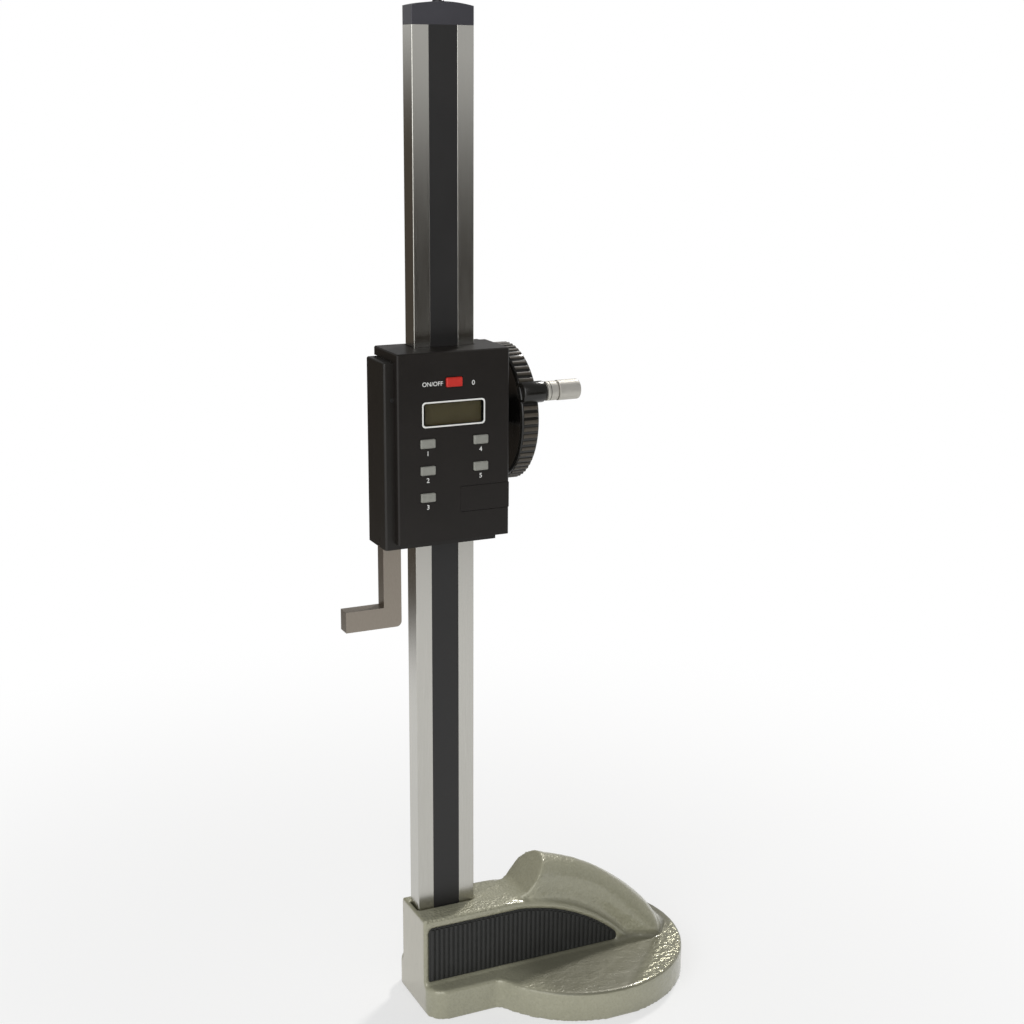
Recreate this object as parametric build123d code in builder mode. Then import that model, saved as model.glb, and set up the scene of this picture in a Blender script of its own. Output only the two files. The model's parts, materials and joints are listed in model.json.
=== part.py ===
from build123d import *
from math import atan, cos, hypot, pi, radians, sin, sqrt, tan
import os

# Digital height gauge, millimetres.
# +X runs along the base towards the round foot, +Y away from the display, +Z up.
# The origin is on the resting plane, under the middle of the beam.

# ---------------------------------------------------------------- stand
BEAM_WIDTH = 28.8
BEAM_DEPTH = 10.4
BEAM_TOP = 457.2
BEAM_EDGE = 0.4
STRIP_WIDTH = 13.1
STRIP_THICK = 0.6
STRIP_CLEAR = 0.05
STRIP_RISE = 20.0

CAP_SHOULDER = 7.8
CAP_ARCH = 1.7
CAP_SCREW_R = 1.5
CAP_SCREW_LENGTH = 13.5
CAP_HEAD_R = 2.6
CAP_HEAD_H = 2.2
CAP_HEAD_RISE = 0.9
CAP_CLEAR = 0.1

BASE_MID_Y = -3.5
BASE_FRONT = -16.8
BASE_TOP = 48.3
BODY_HALF = 14.3
WALL_END = 95.6
WALL_SHOULDER = 22.0
WALL_CHAMFER = 1.0
FOOT_THICK = 14.8
FOOT_EDGE = 0.9
DISC_X = 69.0
DISC_R = 56.0
LOBE_HALF = 23.9
WAIST_ROUND = 5.5
RELIEF_RIM = 11.0
RELIEF_DEPTH = 2.0

SADDLE_START = 29.0
CREASE_X = 38.2
CREASE_Z = 50.2
FACET_SLOPE = 49.6
HUMP_FRONT = 27.0
SADDLE_CUT_HEIGHT = 40.0

SOCKET_FLOOR = 18.0
SOCKET_CLEAR = 0.3
BOLT_SPACING = 16.0
BOLT_R = 3.0
BOLT_HEAD_R = 5.0
BOLT_HEAD_H = 6.0
BOLT_REACH = 14.0
BOLT_CLEAR = 0.3
HEX_R = 2.6
BOLT_SINK = 1.5
BOLT_SEAT = BOLT_SINK + BOLT_HEAD_H

PAD_FRONT = -14.4
PAD_SHOULDER = 33.0
PAD_END = 87.6
PAD_END_RISE = 4.0
PAD_SAG = 4.9
PAD_FOOT_GAP = 0.7
PAD_TOP_GAP = 4.5
PAD_CORNER = 2.5
PAD_END_ROUND = 4.0
PAD_HEEL_ROUND = 1.0
PAD_DEPTH = 1.6
PAD_WEB = 1.2
PAD_CLEAR = 0.1
RIB_PITCH = 2.5
RIB_R = 1.15
RIB_PROUD = 0.5

# ------------------------------------------------------- rack and pinion
MODULE = 1.0
PINION_TEETH = 14
PRESSURE_ANGLE = 20.0
BACKLASH = 0.24
RACK_ADDENDUM = 0.8
DEDENDUM = 1.25
RACK_WIDTH = 8.0
RACK_BACKING = 2.0
RACK_CLEAR = 0.05
RACK_LOW = 62.0
RACK_END_GAP = 7.2
RACK_HIGH = BEAM_TOP - RACK_END_GAP
TIP_BELOW_FACE = 0.1
PINION_WIDTH = 8.0
PINION_CLEAR = 0.6

# ------------------------------------------------------------------ head
CASE_LEFT = -28.3
CASE_RIGHT = 25.3
CASE_FRONT = -19.7
CASE_BACK = 8.4
CASE_BOTTOM = 235.0
CASE_TOP = 320.3
CASE_WALL = 1.8
CASE_EDGE = 1.0
SLOT_CLEAR = 0.5
CASE_STEP = 2.0
CASE_TOP_EDGE = 0.5
CASE_FIT = 0.1

CARRIAGE_LEFT = -33.0
CARRIAGE_RIGHT = 20.4
CARRIAGE_FRONT = -15.8
CARRIAGE_SIDE_BACK = 5.6
BACK_LEFT = -18.5
CARRIAGE_BOTTOM = 232.3
CARRIAGE_TOP = 316.3
CARRIAGE_EDGE = 1.2
GUIDE_CLEAR = 0.1
POCKET_LEFT = -20.5
POCKET_RIGHT = 17.5
POCKET_LOW = 238.5
POCKET_HIGH = 312.5
CHANNEL_SKIN = 1.8
NOTCH_WIDTH = 2.6
NOTCH_HEIGHT = 4.2

ARM_WIDTH = 8.5
ARM_THICK = 7.0
ARM_FRONT = -8.0
ARM_LEFT = -31.2
ARM_REACH = 18.2
ARM_FOOT = 9.7
ARM_BOTTOM = 193.7
ARM_TOP = 308.0
ARM_CLEAR = 0.05
ARM_CORNER = 2.5
ARM_SCREW_X = -29.3
ARM_SCREW_Z = 299.8
ARM_SCREW_LOW_Z = 246.0
ARM_SCREW_R = 0.9
ARM_SCREW_HEAD_R = 2.2
ARM_SCREW_HEAD_H = 1.4
ARM_SCREW_BLIND = 3.0

GIB_THICK = 2.5
GIB_WIDTH = 27.0
GIB_END_GAP = 6.0
GIB_CLEAR = 0.1
GIB_SCREW_R = 1.5
GIB_SCREW_SINK = 1.2
GIB_SCREW_SPAN = 64.0
GIB_SCREW_SPREAD = 20.0
GIB_SCREW_LENGTH = 3.4

WIPER_THICK = 2.5
WIPER_RIM = 3.0

SHAFT_Y = 11.3
SHAFT_Z = 285.6
SHAFT_R = 3.0
SHAFT_LEFT = -8.4
SHAFT_CLEAR = 0.6
BUSH_R = 5.0
BUSH_RUN = 0.04
BUSH_INNER_LENGTH = 4.0
BUSH_OUTER_LENGTH = 8.0
COVER_R = 11.0
COVER_LEFT = -12.0
COVER_FLANGE = 6.0
COVER_FLANGE_THICK = 2.6
COVER_ROUND = 1.0
COVER_SCREW_R = 1.25
COVER_SCREW_HEAD_R = 2.3
COVER_SCREW_HEAD_H = 1.6
COVER_SCREW_REACH = 4.5
CASE_SCREW_Y = -4.0
CASE_SCREW_LOW = 246.0
CASE_SCREW_HIGH = 306.0
CASE_SCREW_REACH = 4.0

LOCK_X = -9.5
LOCK_Z = 256.0
LOCK_R = 2.5
LOCK_RUN = 0.08
SHOE_R = 3.2
SHOE_THICK = 2.0
SHOE_GAP = 0.1
LOCK_KNOB_R = 6.5
LOCK_KNOB_LENGTH = 8.0
LOCK_NECK = 2.5
LOCK_RIDGES = 18
LOCK_RIDGE_R = 0.9

COVER_SCREW_PLACES = [
    (x, SHAFT_Z + side * (COVER_R + COVER_FLANGE / 2))
    for x in (COVER_LEFT + 5.0, CARRIAGE_RIGHT - 5.0)
    for side in (-1, 1)
]

# --------------------------------------------------------------- display
LCD_MID_X = -1.75
LCD_MID_Z = 292.85
LCD_WIDTH = 30.1
LCD_HEIGHT = 11.5
LCD_LINE = 0.7
LCD_ROUND = 1.6
BEZEL_RISE = 0.3
WINDOW_THICK = 1.2
PANEL_WIDTH = 34.0
PANEL_HEIGHT = 16.0
PANEL_THICK = 1.9
PANEL_CLEAR = 0.05
BOARD_THICK = 1.6
BOARD_MARGIN = 0.8
POST_R = 1.8
POST_INSET = 3.2
BOARD_SCREW_R = 0.8
BOARD_SCREW_HEAD_R = 1.5
BOARD_SCREW_HEAD_H = 0.9
READER_WIDTH = 20.0
READER_HEIGHT = 50.0
READER_GAP = 0.15

BUTTON_RISE = 0.9
BUTTON_TRAVEL = 0.5
BUTTON_CLEAR = 0.2
BUTTON_FLANGE = 0.7
BUTTON_LIP = 0.6
BUTTON_STEM_R = 1.1
BUTTON_ROUND = 0.6
BUTTON_TOP_ROUND = 0.4
FLANGE_CLEAR = 0.1
STEM_GAP = 0.1
RED_WIDTH = 7.7
RED_HEIGHT = 4.2
GREY_WIDTH = 7.0
GREY_HEIGHT = 4.0
LEFT_COLUMN = -14.1
RIGHT_COLUMN = 11.3
BUTTON_PLACES = {
    "button_power": (-1.5, 306.7, RED_WIDTH, RED_HEIGHT),
    "button_hold": (LEFT_COLUMN, 280.0, GREY_WIDTH, GREY_HEIGHT),
    "button_mode": (LEFT_COLUMN, 267.9, GREY_WIDTH, GREY_HEIGHT),
    "button_units": (LEFT_COLUMN, 255.7, GREY_WIDTH, GREY_HEIGHT),
    "button_limits": (RIGHT_COLUMN, 280.0, GREY_WIDTH, GREY_HEIGHT),
    "button_preset": (RIGHT_COLUMN, 267.9, GREY_WIDTH, GREY_HEIGHT),
}

CELL_R = 5.8
CELL_THICK = 5.4
CELL_X = 9.0
CELL_Z = 253.4
CELL_CLEAR = 0.1
CELL_ROUND = 0.5
TRAY_WALL = 1.0
DOOR_LEFT = 1.7
DOOR_HEIGHT = 11.6
DOOR_THICK = 1.6
DOOR_CLEAR = 0.15
DOOR_TONGUE = 0.6
CONTACT_THICK = 0.4

# ------------------------------------------------------------- handwheel
WHEEL_R = 31.7
WHEEL_LEFT = 31.7
WHEEL_WIDTH = 8.6
RIM_THICK = 3.2
WEB_THICK = 3.0
WHEEL_DISH = 4.0
HUB_R = 8.0
HUB_LEFT = 27.6
HUB_RIGHT = 41.6
HUB_END = 1.6
RIDGES = 60
RIDGE_DEPTH = 0.55
WHEEL_SCREW_R = 2.0
WHEEL_SCREW_HEAD_R = 4.5
WHEEL_SCREW_HEAD_H = 2.4
WHEEL_SCREW_REACH = 9.0
CRANK_RADIUS = 32.1
CRANK_ANGLE = 155.4
BOSS_R = 4.9
BOSS_LENGTH = 11.0
BOSS_PROUD = 0.2
STUD_R = 2.0
STUD_HEAD_R = 3.2
STUD_HEAD_H = 1.2
STUD_RECESS = 1.0
COLLAR_NECK_R = 3.4
COLLAR_NECK = 1.2
COLLAR_R = 4.4
COLLAR_LENGTH = 5.1
COLLAR_HOLE_R = 0.6
SLEEVE_R = 4.6
SLEEVE_LENGTH = 10.8
SLEEVE_STEP = 0.5
SLEEVE_RUN = 0.08
SLEEVE_GAP = 0.1
SLEEVE_END = 1.5
SLEEVE_ROUND = 0.6

os.makedirs("parts", exist_ok=True)


def front_plane(y):
    """Plane across Y at y: its x is +X, its y is +Z and it faces the viewer (-Y)."""
    return Plane.XZ.offset(-y)


def side_plane(x):
    """Plane across X at x: its x is +Y, its y is +Z and it faces +X."""
    return Plane.YZ.offset(x)


def write(part, label):
    part.label = label
    export_step(part, f"parts/{label}.step")


def sagged(start, end, sag):
    """Middle point of an arc from start to end that bulges up and right by sag."""
    run, fall = end[0] - start[0], start[1] - end[1]
    chord = hypot(run, fall)
    middle = ((start[0] + end[0]) / 2, (start[1] + end[1]) / 2)
    return (middle[0] + sag * fall / chord, middle[1] + sag * run / chord)


# ================================================================= stand
base_plan = Plane(origin=(0, BASE_MID_Y, 0))
base_side = front_plane(BASE_MID_Y)
beam_offset = -BASE_MID_Y

# Top of the side walls: level, then an arc that runs down to the foot.
wall_drop = BASE_TOP - FOOT_THICK
wall_run = WALL_END - WALL_SHOULDER
wall_arc_r = (wall_run**2 + wall_drop**2) / (2 * wall_drop)


def ledge_at(x):
    """Height of the ledge beside the hump at x."""
    along = min(max(x - WALL_SHOULDER, 0), wall_run)
    return BASE_TOP - wall_arc_r + sqrt(wall_arc_r**2 - along**2)


# The hump that fills the palm: arched sections that narrow behind the thumb
# rest and spread again where the hump runs out on the foot.
# Each station is x, half width on the ledge, half width of the body, height
# of the shoulder where the arch springs, height of the crown.
HUMP_STATIONS = [
    (HUMP_FRONT, 11.3, 12.8, 57.5, 69.2),
    (42.0, 11.3, 12.8, 55.5, 66.6),
    (50.0, 11.4, 11.5, 52.0, 64.9),
    (57.0, 11.2, 10.1, 48.5, 62.6),
    (70.0, 10.8, 9.0, 43.0, 57.7),
    (84.0, 11.4, 9.4, 34.0, 49.8),
    (93.0, 13.2, 11.8, 24.5, 43.3),
    (102.0, 16.0, 15.8, 15.0, 35.7),
    (111.0, 17.8, 17.6, 12.0, 26.2),
    (120.0, 12.0, 11.8, 11.0, 15.6),
]
HUMP_FLOOR = 8.0
HUMP_SINK = 0.4
ARCH_FILL = 0.75

with BuildPart() as hump_form:
    for x, foot_half, half, shoulder, crown in HUMP_STATIONS:
        foot = min(ledge_at(x), shoulder) - HUMP_SINK
        control = shoulder + (crown - shoulder) / ARCH_FILL
        left = BASE_MID_Y + half
        right = BASE_MID_Y - half
        foot_left = BASE_MID_Y + foot_half
        foot_right = BASE_MID_Y - foot_half
        waist_z = (foot + shoulder) / 2
        with BuildSketch(side_plane(x)):
            with BuildLine():
                Line((foot_left, HUMP_FLOOR), (foot_left, foot))
                Bezier((foot_left, foot), (left, foot), (left, waist_z), (left, shoulder))
                Bezier((left, shoulder), (left, control), (right, control), (right, shoulder))
                Bezier((right, shoulder), (right, waist_z), (right, foot), (foot_right, foot))
                Line((foot_right, foot), (foot_right, HUMP_FLOOR))
                Line((foot_right, HUMP_FLOOR), (foot_left, HUMP_FLOOR))
            make_face()
    loft()

wall_top_start = (WALL_SHOULDER, BASE_TOP)
wall_top_end = (WALL_END, FOOT_THICK)

with BuildPart() as wall_form:
    with BuildSketch(base_side):
        with BuildLine():
            Line((BASE_FRONT, 0), (BASE_FRONT, BASE_TOP))
            Line((BASE_FRONT, BASE_TOP), wall_top_start)
            TangentArc(wall_top_start, wall_top_end, tangent=(1, 0))
            Line(wall_top_end, (WALL_END, 0))
            Line((WALL_END, 0), (BASE_FRONT, 0))
        make_face()
    extrude(amount=BODY_HALF, both=True)
    top_faces = faces().filter_by(lambda face: face.normal_at().Z > 0.5)
    rim = [
        edge
        for face in top_faces
        for edge in face.edges()
        if abs(abs(edge.center().Y - BASE_MID_Y) - BODY_HALF) < 0.01
    ]
    chamfer(rim, length=WALL_CHAMFER)

facet_rise = tan(radians(FACET_SLOPE))
cut_top = BASE_TOP + SADDLE_CUT_HEIGHT
facet_end = (CREASE_X + (cut_top - CREASE_Z) / facet_rise, cut_top)

pad_low = FOOT_THICK + PAD_FOOT_GAP
pad_high = BASE_TOP - PAD_TOP_GAP
pad_start = (PAD_SHOULDER, pad_high)
pad_stop = (PAD_END, pad_low + PAD_END_RISE)

with BuildSketch() as pad_outline:
    with BuildLine():
        Line((PAD_FRONT, pad_low), (PAD_FRONT, pad_high))
        Line((PAD_FRONT, pad_high), pad_start)
        ThreePointArc(pad_start, sagged(pad_start, pad_stop, PAD_SAG), pad_stop)
        Line(pad_stop, (PAD_END, pad_low))
        Line((PAD_END, pad_low), (PAD_FRONT, pad_low))
    make_face()
    fillet(vertices().group_by(Axis.X)[0].sort_by(Axis.Y)[-1], PAD_CORNER)
    fillet(vertices().group_by(Axis.X)[-1].sort_by(Axis.Y)[-1], PAD_END_ROUND)
    fillet(vertices().group_by(Axis.X)[-1].sort_by(Axis.Y)[0], PAD_HEEL_ROUND)

with BuildPart() as base_casting:
    with BuildSketch(base_plan):
        with Locations((DISC_X, 0)):
            Circle(DISC_R)
        with Locations(((BASE_FRONT + DISC_X) / 2, 0)):
            Rectangle(DISC_X - BASE_FRONT, 2 * LOBE_HALF)
        fillet(vertices().group_by(Axis.X)[0], LOBE_HALF - BODY_HALF - 0.01)
        waist = vertices().filter_by(
            lambda v: abs(hypot(v.X - DISC_X, v.Y) - DISC_R) < 0.01
            and v.X < DISC_X - LOBE_HALF
        )
        fillet(waist, WAIST_ROUND)
    extrude(amount=FOOT_THICK)
    chamfer(faces().sort_by(Axis.Z)[-1].edges(), length=FOOT_EDGE)

    add(hump_form.part)
    add(wall_form.part)
    # saddle and thumb rest
    with BuildSketch(base_side):
        with BuildLine():
            Line((HUMP_FRONT - 10, BASE_TOP), (SADDLE_START, BASE_TOP))
            TangentArc((SADDLE_START, BASE_TOP), (CREASE_X, CREASE_Z), tangent=(1, 0))
            Line((CREASE_X, CREASE_Z), facet_end)
            Line(facet_end, (HUMP_FRONT - 10, cut_top))
            Line((HUMP_FRONT - 10, cut_top), (HUMP_FRONT - 10, BASE_TOP))
        make_face()
    extrude(amount=DISC_R, both=True, mode=Mode.SUBTRACT)
    # socket for the beam
    with BuildSketch(Plane.XY.offset(SOCKET_FLOOR)):
        Rectangle(BEAM_WIDTH + 2 * SOCKET_CLEAR, BEAM_DEPTH + 2 * SOCKET_CLEAR)
    extrude(amount=BASE_TOP, mode=Mode.SUBTRACT)
    # relief under the disc leaves a flat rim to stand on
    with BuildSketch(base_plan):
        with Locations((DISC_X, 0)):
            Circle(DISC_R - RELIEF_RIM)
    extrude(amount=RELIEF_DEPTH, mode=Mode.SUBTRACT)
    # beam bolt holes with counterbores
    with BuildSketch(Plane.XY):
        with GridLocations(BOLT_SPACING, 0, 2, 1):
            Circle(BOLT_R + BOLT_CLEAR)
    extrude(amount=SOCKET_FLOOR + 1, mode=Mode.SUBTRACT)
    with BuildSketch(Plane.XY):
        with GridLocations(BOLT_SPACING, 0, 2, 1):
            Circle(BOLT_HEAD_R + BOLT_CLEAR)
    extrude(amount=BOLT_SEAT, mode=Mode.SUBTRACT)
    # pockets for the grip pads
    with BuildSketch(front_plane(BASE_MID_Y - BODY_HALF + PAD_DEPTH)):
        add(pad_outline.sketch)
    extrude(amount=PAD_DEPTH + 1, mode=Mode.SUBTRACT)
    with BuildSketch(front_plane(BASE_MID_Y + BODY_HALF - PAD_DEPTH)):
        add(pad_outline.sketch)
    extrude(amount=-PAD_DEPTH - 1, mode=Mode.SUBTRACT)

write(base_casting.part, "base_casting")

# ribbed rubber pads, one on each flank
rib_span = PAD_END - PAD_FRONT
rib_count = int(rib_span / RIB_PITCH) + 1
crest = BODY_HALF + RIB_PROUD
pad_floor = BODY_HALF - PAD_DEPTH
for label, side in (("grip_pad_front", -1), ("grip_pad_rear", 1)):
    with BuildPart() as grip_pad:
        with BuildSketch(Plane.XY.offset(FOOT_THICK)):
            with Locations(
                ((PAD_FRONT + PAD_END) / 2, BASE_MID_Y + side * (pad_floor + PAD_WEB / 2))
            ):
                Rectangle(rib_span, PAD_WEB)
            with Locations(
                ((PAD_FRONT + PAD_END) / 2, BASE_MID_Y + side * (crest - RIB_R))
            ):
                with GridLocations(RIB_PITCH, 0, rib_count, 1):
                    Circle(RIB_R)
        extrude(amount=BASE_TOP - FOOT_THICK)
        with BuildSketch(front_plane(BASE_MID_Y + side * pad_floor)):
            add(pad_outline.sketch)
            offset(amount=-PAD_CLEAR, mode=Mode.REPLACE)
        extrude(amount=-side * (PAD_DEPTH + 1), mode=Mode.INTERSECT)
    write(grip_pad.part, label)

# ---------------------------------------------------------------- beam
half_beam = BEAM_DEPTH / 2
pitch_radius = MODULE * PINION_TEETH / 2
tooth_pitch = pi * MODULE
pitch_line = SHAFT_Y - pitch_radius
rack_root = pitch_line - DEDENDUM * MODULE
rack_back = rack_root - RACK_BACKING
cap_peak = BEAM_TOP + CAP_SHOULDER + CAP_ARCH
cap_seat = cap_peak + CAP_HEAD_RISE - CAP_HEAD_H
strip_low = SOCKET_FLOOR + STRIP_RISE

with BuildPart() as beam:
    with BuildSketch(Plane.XY.offset(SOCKET_FLOOR)):
        RectangleRounded(BEAM_WIDTH, BEAM_DEPTH, BEAM_EDGE)
    extrude(amount=BEAM_TOP - SOCKET_FLOOR)
    # groove for the scale strip
    with BuildSketch(front_plane(-half_beam)):
        with Locations((0, (strip_low + BEAM_TOP) / 2)):
            Rectangle(STRIP_WIDTH + 2 * STRIP_CLEAR, BEAM_TOP - strip_low)
    extrude(amount=-STRIP_THICK, mode=Mode.SUBTRACT)
    # groove for the rack
    with BuildSketch(front_plane(rack_back)):
        with Locations((0, (RACK_LOW + RACK_HIGH) / 2)):
            Rectangle(RACK_WIDTH + 2 * RACK_CLEAR, RACK_HIGH - RACK_LOW + 2 * RACK_CLEAR)
    extrude(amount=-BEAM_DEPTH, mode=Mode.SUBTRACT)
    # tapped holes for the base bolts and the cap screw
    with BuildSketch(Plane.XY.offset(SOCKET_FLOOR)):
        with GridLocations(BOLT_SPACING, 0, 2, 1):
            Circle(BOLT_R)
    extrude(amount=BOLT_REACH, mode=Mode.SUBTRACT)
    with BuildSketch(Plane.XY.offset(BEAM_TOP)):
        Circle(CAP_SCREW_R)
    extrude(amount=cap_seat - BEAM_TOP - CAP_SCREW_LENGTH, mode=Mode.SUBTRACT)
write(beam.part, "beam")

with BuildPart() as scale_strip:
    with BuildSketch(front_plane(-half_beam)):
        with Locations((0, (strip_low + STRIP_CLEAR + BEAM_TOP) / 2)):
            Rectangle(STRIP_WIDTH, BEAM_TOP - strip_low - STRIP_CLEAR)
    extrude(amount=-STRIP_THICK)
write(scale_strip.part, "scale_strip")

with BuildPart() as beam_bolts:
    with BuildSketch(Plane.XY.offset(BOLT_SEAT)):
        with GridLocations(BOLT_SPACING, 0, 2, 1):
            Circle(BOLT_R)
    extrude(amount=SOCKET_FLOOR + BOLT_REACH - BOLT_SEAT)
    with BuildSketch(Plane.XY.offset(BOLT_SEAT)):
        with GridLocations(BOLT_SPACING, 0, 2, 1):
            Circle(BOLT_HEAD_R)
    extrude(amount=-BOLT_HEAD_H)
    with BuildSketch(Plane.XY.offset(BOLT_SEAT - BOLT_HEAD_H)):
        with GridLocations(BOLT_SPACING, 0, 2, 1):
            RegularPolygon(HEX_R, 6)
    extrude(amount=BOLT_HEAD_H / 2, mode=Mode.SUBTRACT)
write(beam_bolts.part, "beam_bolts")

with BuildPart() as beam_cap:
    with BuildSketch(front_plane(-half_beam)):
        with BuildLine():
            Line((-BEAM_WIDTH / 2, BEAM_TOP), (BEAM_WIDTH / 2, BEAM_TOP))
            Line((BEAM_WIDTH / 2, BEAM_TOP), (BEAM_WIDTH / 2, BEAM_TOP + CAP_SHOULDER))
            ThreePointArc(
                (BEAM_WIDTH / 2, BEAM_TOP + CAP_SHOULDER),
                (0, cap_peak),
                (-BEAM_WIDTH / 2, BEAM_TOP + CAP_SHOULDER),
            )
            Line((-BEAM_WIDTH / 2, BEAM_TOP + CAP_SHOULDER), (-BEAM_WIDTH / 2, BEAM_TOP))
        make_face()
    extrude(amount=-BEAM_DEPTH)
    fillet(edges().filter_by(Axis.Z), BEAM_EDGE)
    with BuildSketch(Plane.XY.offset(BEAM_TOP)):
        Circle(CAP_SCREW_R)
    extrude(amount=2 * CAP_SHOULDER, mode=Mode.SUBTRACT)
    with BuildSketch(Plane.XY.offset(cap_seat)):
        Circle(CAP_HEAD_R + CAP_CLEAR)
    extrude(amount=CAP_SHOULDER, mode=Mode.SUBTRACT)
write(beam_cap.part, "beam_cap")

with BuildPart() as cap_screw:
    with BuildSketch(Plane.XY.offset(cap_seat)):
        Circle(CAP_SCREW_R)
    extrude(amount=-CAP_SCREW_LENGTH)
    with BuildSketch(Plane.XY.offset(cap_seat)):
        Circle(CAP_HEAD_R)
    extrude(amount=CAP_HEAD_H)
    chamfer(edges().group_by(Axis.Z)[-1], length=CAP_HEAD_H / 4)
    with BuildSketch(Plane.XY.offset(cap_peak + CAP_HEAD_RISE)):
        RegularPolygon(CAP_SCREW_R * 0.8, 6)
    extrude(amount=-CAP_HEAD_H / 2, mode=Mode.SUBTRACT)
write(cap_screw.part, "cap_screw")

# ------------------------------------------------------- rack and pinion
slope = tan(radians(PRESSURE_ANGLE))
half_tooth = tooth_pitch / 4 - BACKLASH / 4
rack_tip = pitch_line + RACK_ADDENDUM * MODULE
tooth_tip = half_tooth - RACK_ADDENDUM * MODULE * slope
tooth_root = half_tooth + DEDENDUM * MODULE * slope
rack_points = [(rack_back, RACK_LOW), (rack_root, RACK_LOW)]
first_tooth = int((RACK_LOW - SHAFT_Z) / tooth_pitch)
last_tooth = int((RACK_HIGH - SHAFT_Z) / tooth_pitch)
for index in range(first_tooth, last_tooth):
    middle = SHAFT_Z + (index + 0.5) * tooth_pitch
    rack_points += [
        (rack_root, middle - tooth_root),
        (rack_tip, middle - tooth_tip),
        (rack_tip, middle + tooth_tip),
        (rack_root, middle + tooth_root),
    ]
rack_points += [(rack_root, RACK_HIGH), (rack_back, RACK_HIGH)]

with BuildPart() as rack:
    with BuildSketch(side_plane(-RACK_WIDTH / 2)):
        with BuildLine():
            Polyline(*rack_points, close=True)
        make_face()
    extrude(amount=RACK_WIDTH)
write(rack.part, "rack")

base_radius = pitch_radius * cos(radians(PRESSURE_ANGLE))
tip_radius = pitch_radius + MODULE
root_radius = pitch_radius - DEDENDUM * MODULE
flank_steps = 5


def roll(radius):
    """Angle swept by the involute between its base circle and radius."""
    turn = sqrt((radius / base_radius) ** 2 - 1)
    return turn - atan(turn)


pinion_points = []
for tooth in range(PINION_TEETH):
    middle = 2 * pi * tooth / PINION_TEETH
    half_angle = half_tooth / pitch_radius + roll(pitch_radius)
    radii = [
        base_radius + (tip_radius - base_radius) * step / flank_steps
        for step in range(flank_steps + 1)
    ]
    flank = [(root_radius, half_angle)] + [(r, half_angle - roll(r)) for r in radii]
    for radius, spread in flank:
        pinion_points.append((radius * cos(middle - spread), radius * sin(middle - spread)))
    for radius, spread in reversed(flank):
        pinion_points.append((radius * cos(middle + spread), radius * sin(middle + spread)))


def shaft_plane(x):
    """Plane across the shaft at x, centred on the shaft."""
    return Plane(origin=(x, SHAFT_Y, SHAFT_Z), x_dir=(0, 1, 0), z_dir=(1, 0, 0))


with BuildPart() as pinion:
    with BuildSketch(shaft_plane(-PINION_WIDTH / 2)):
        with BuildLine():
            Polyline(*pinion_points, close=True)
        make_face()
        Circle(SHAFT_R, mode=Mode.SUBTRACT)
    extrude(amount=PINION_WIDTH)
write(pinion.part, "pinion")

# ================================================================= head
guide_half_x = BEAM_WIDTH / 2 + GUIDE_CLEAR
guide_half_y = BEAM_DEPTH / 2 + GUIDE_CLEAR
gib_front = -guide_half_y - GIB_THICK
pocket_floor = gib_front - CHANNEL_SKIN
carriage_mid_z = (CARRIAGE_BOTTOM + CARRIAGE_TOP) / 2
gib_height = CARRIAGE_TOP - CARRIAGE_BOTTOM - 2 * GIB_END_GAP
pinion_pocket_r = tip_radius + PINION_CLEAR
pinion_pocket_half = PINION_WIDTH / 2 + PINION_CLEAR
bush_inner_left = -pinion_pocket_half - BUSH_INNER_LENGTH
bush_outer_left = CARRIAGE_RIGHT - BUSH_OUTER_LENGTH
arm_right = ARM_LEFT + ARM_WIDTH
arm_back = ARM_FRONT + ARM_THICK
wiper_half_x = guide_half_x + WIPER_RIM
wiper_half_y = guide_half_y + WIPER_RIM

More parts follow.
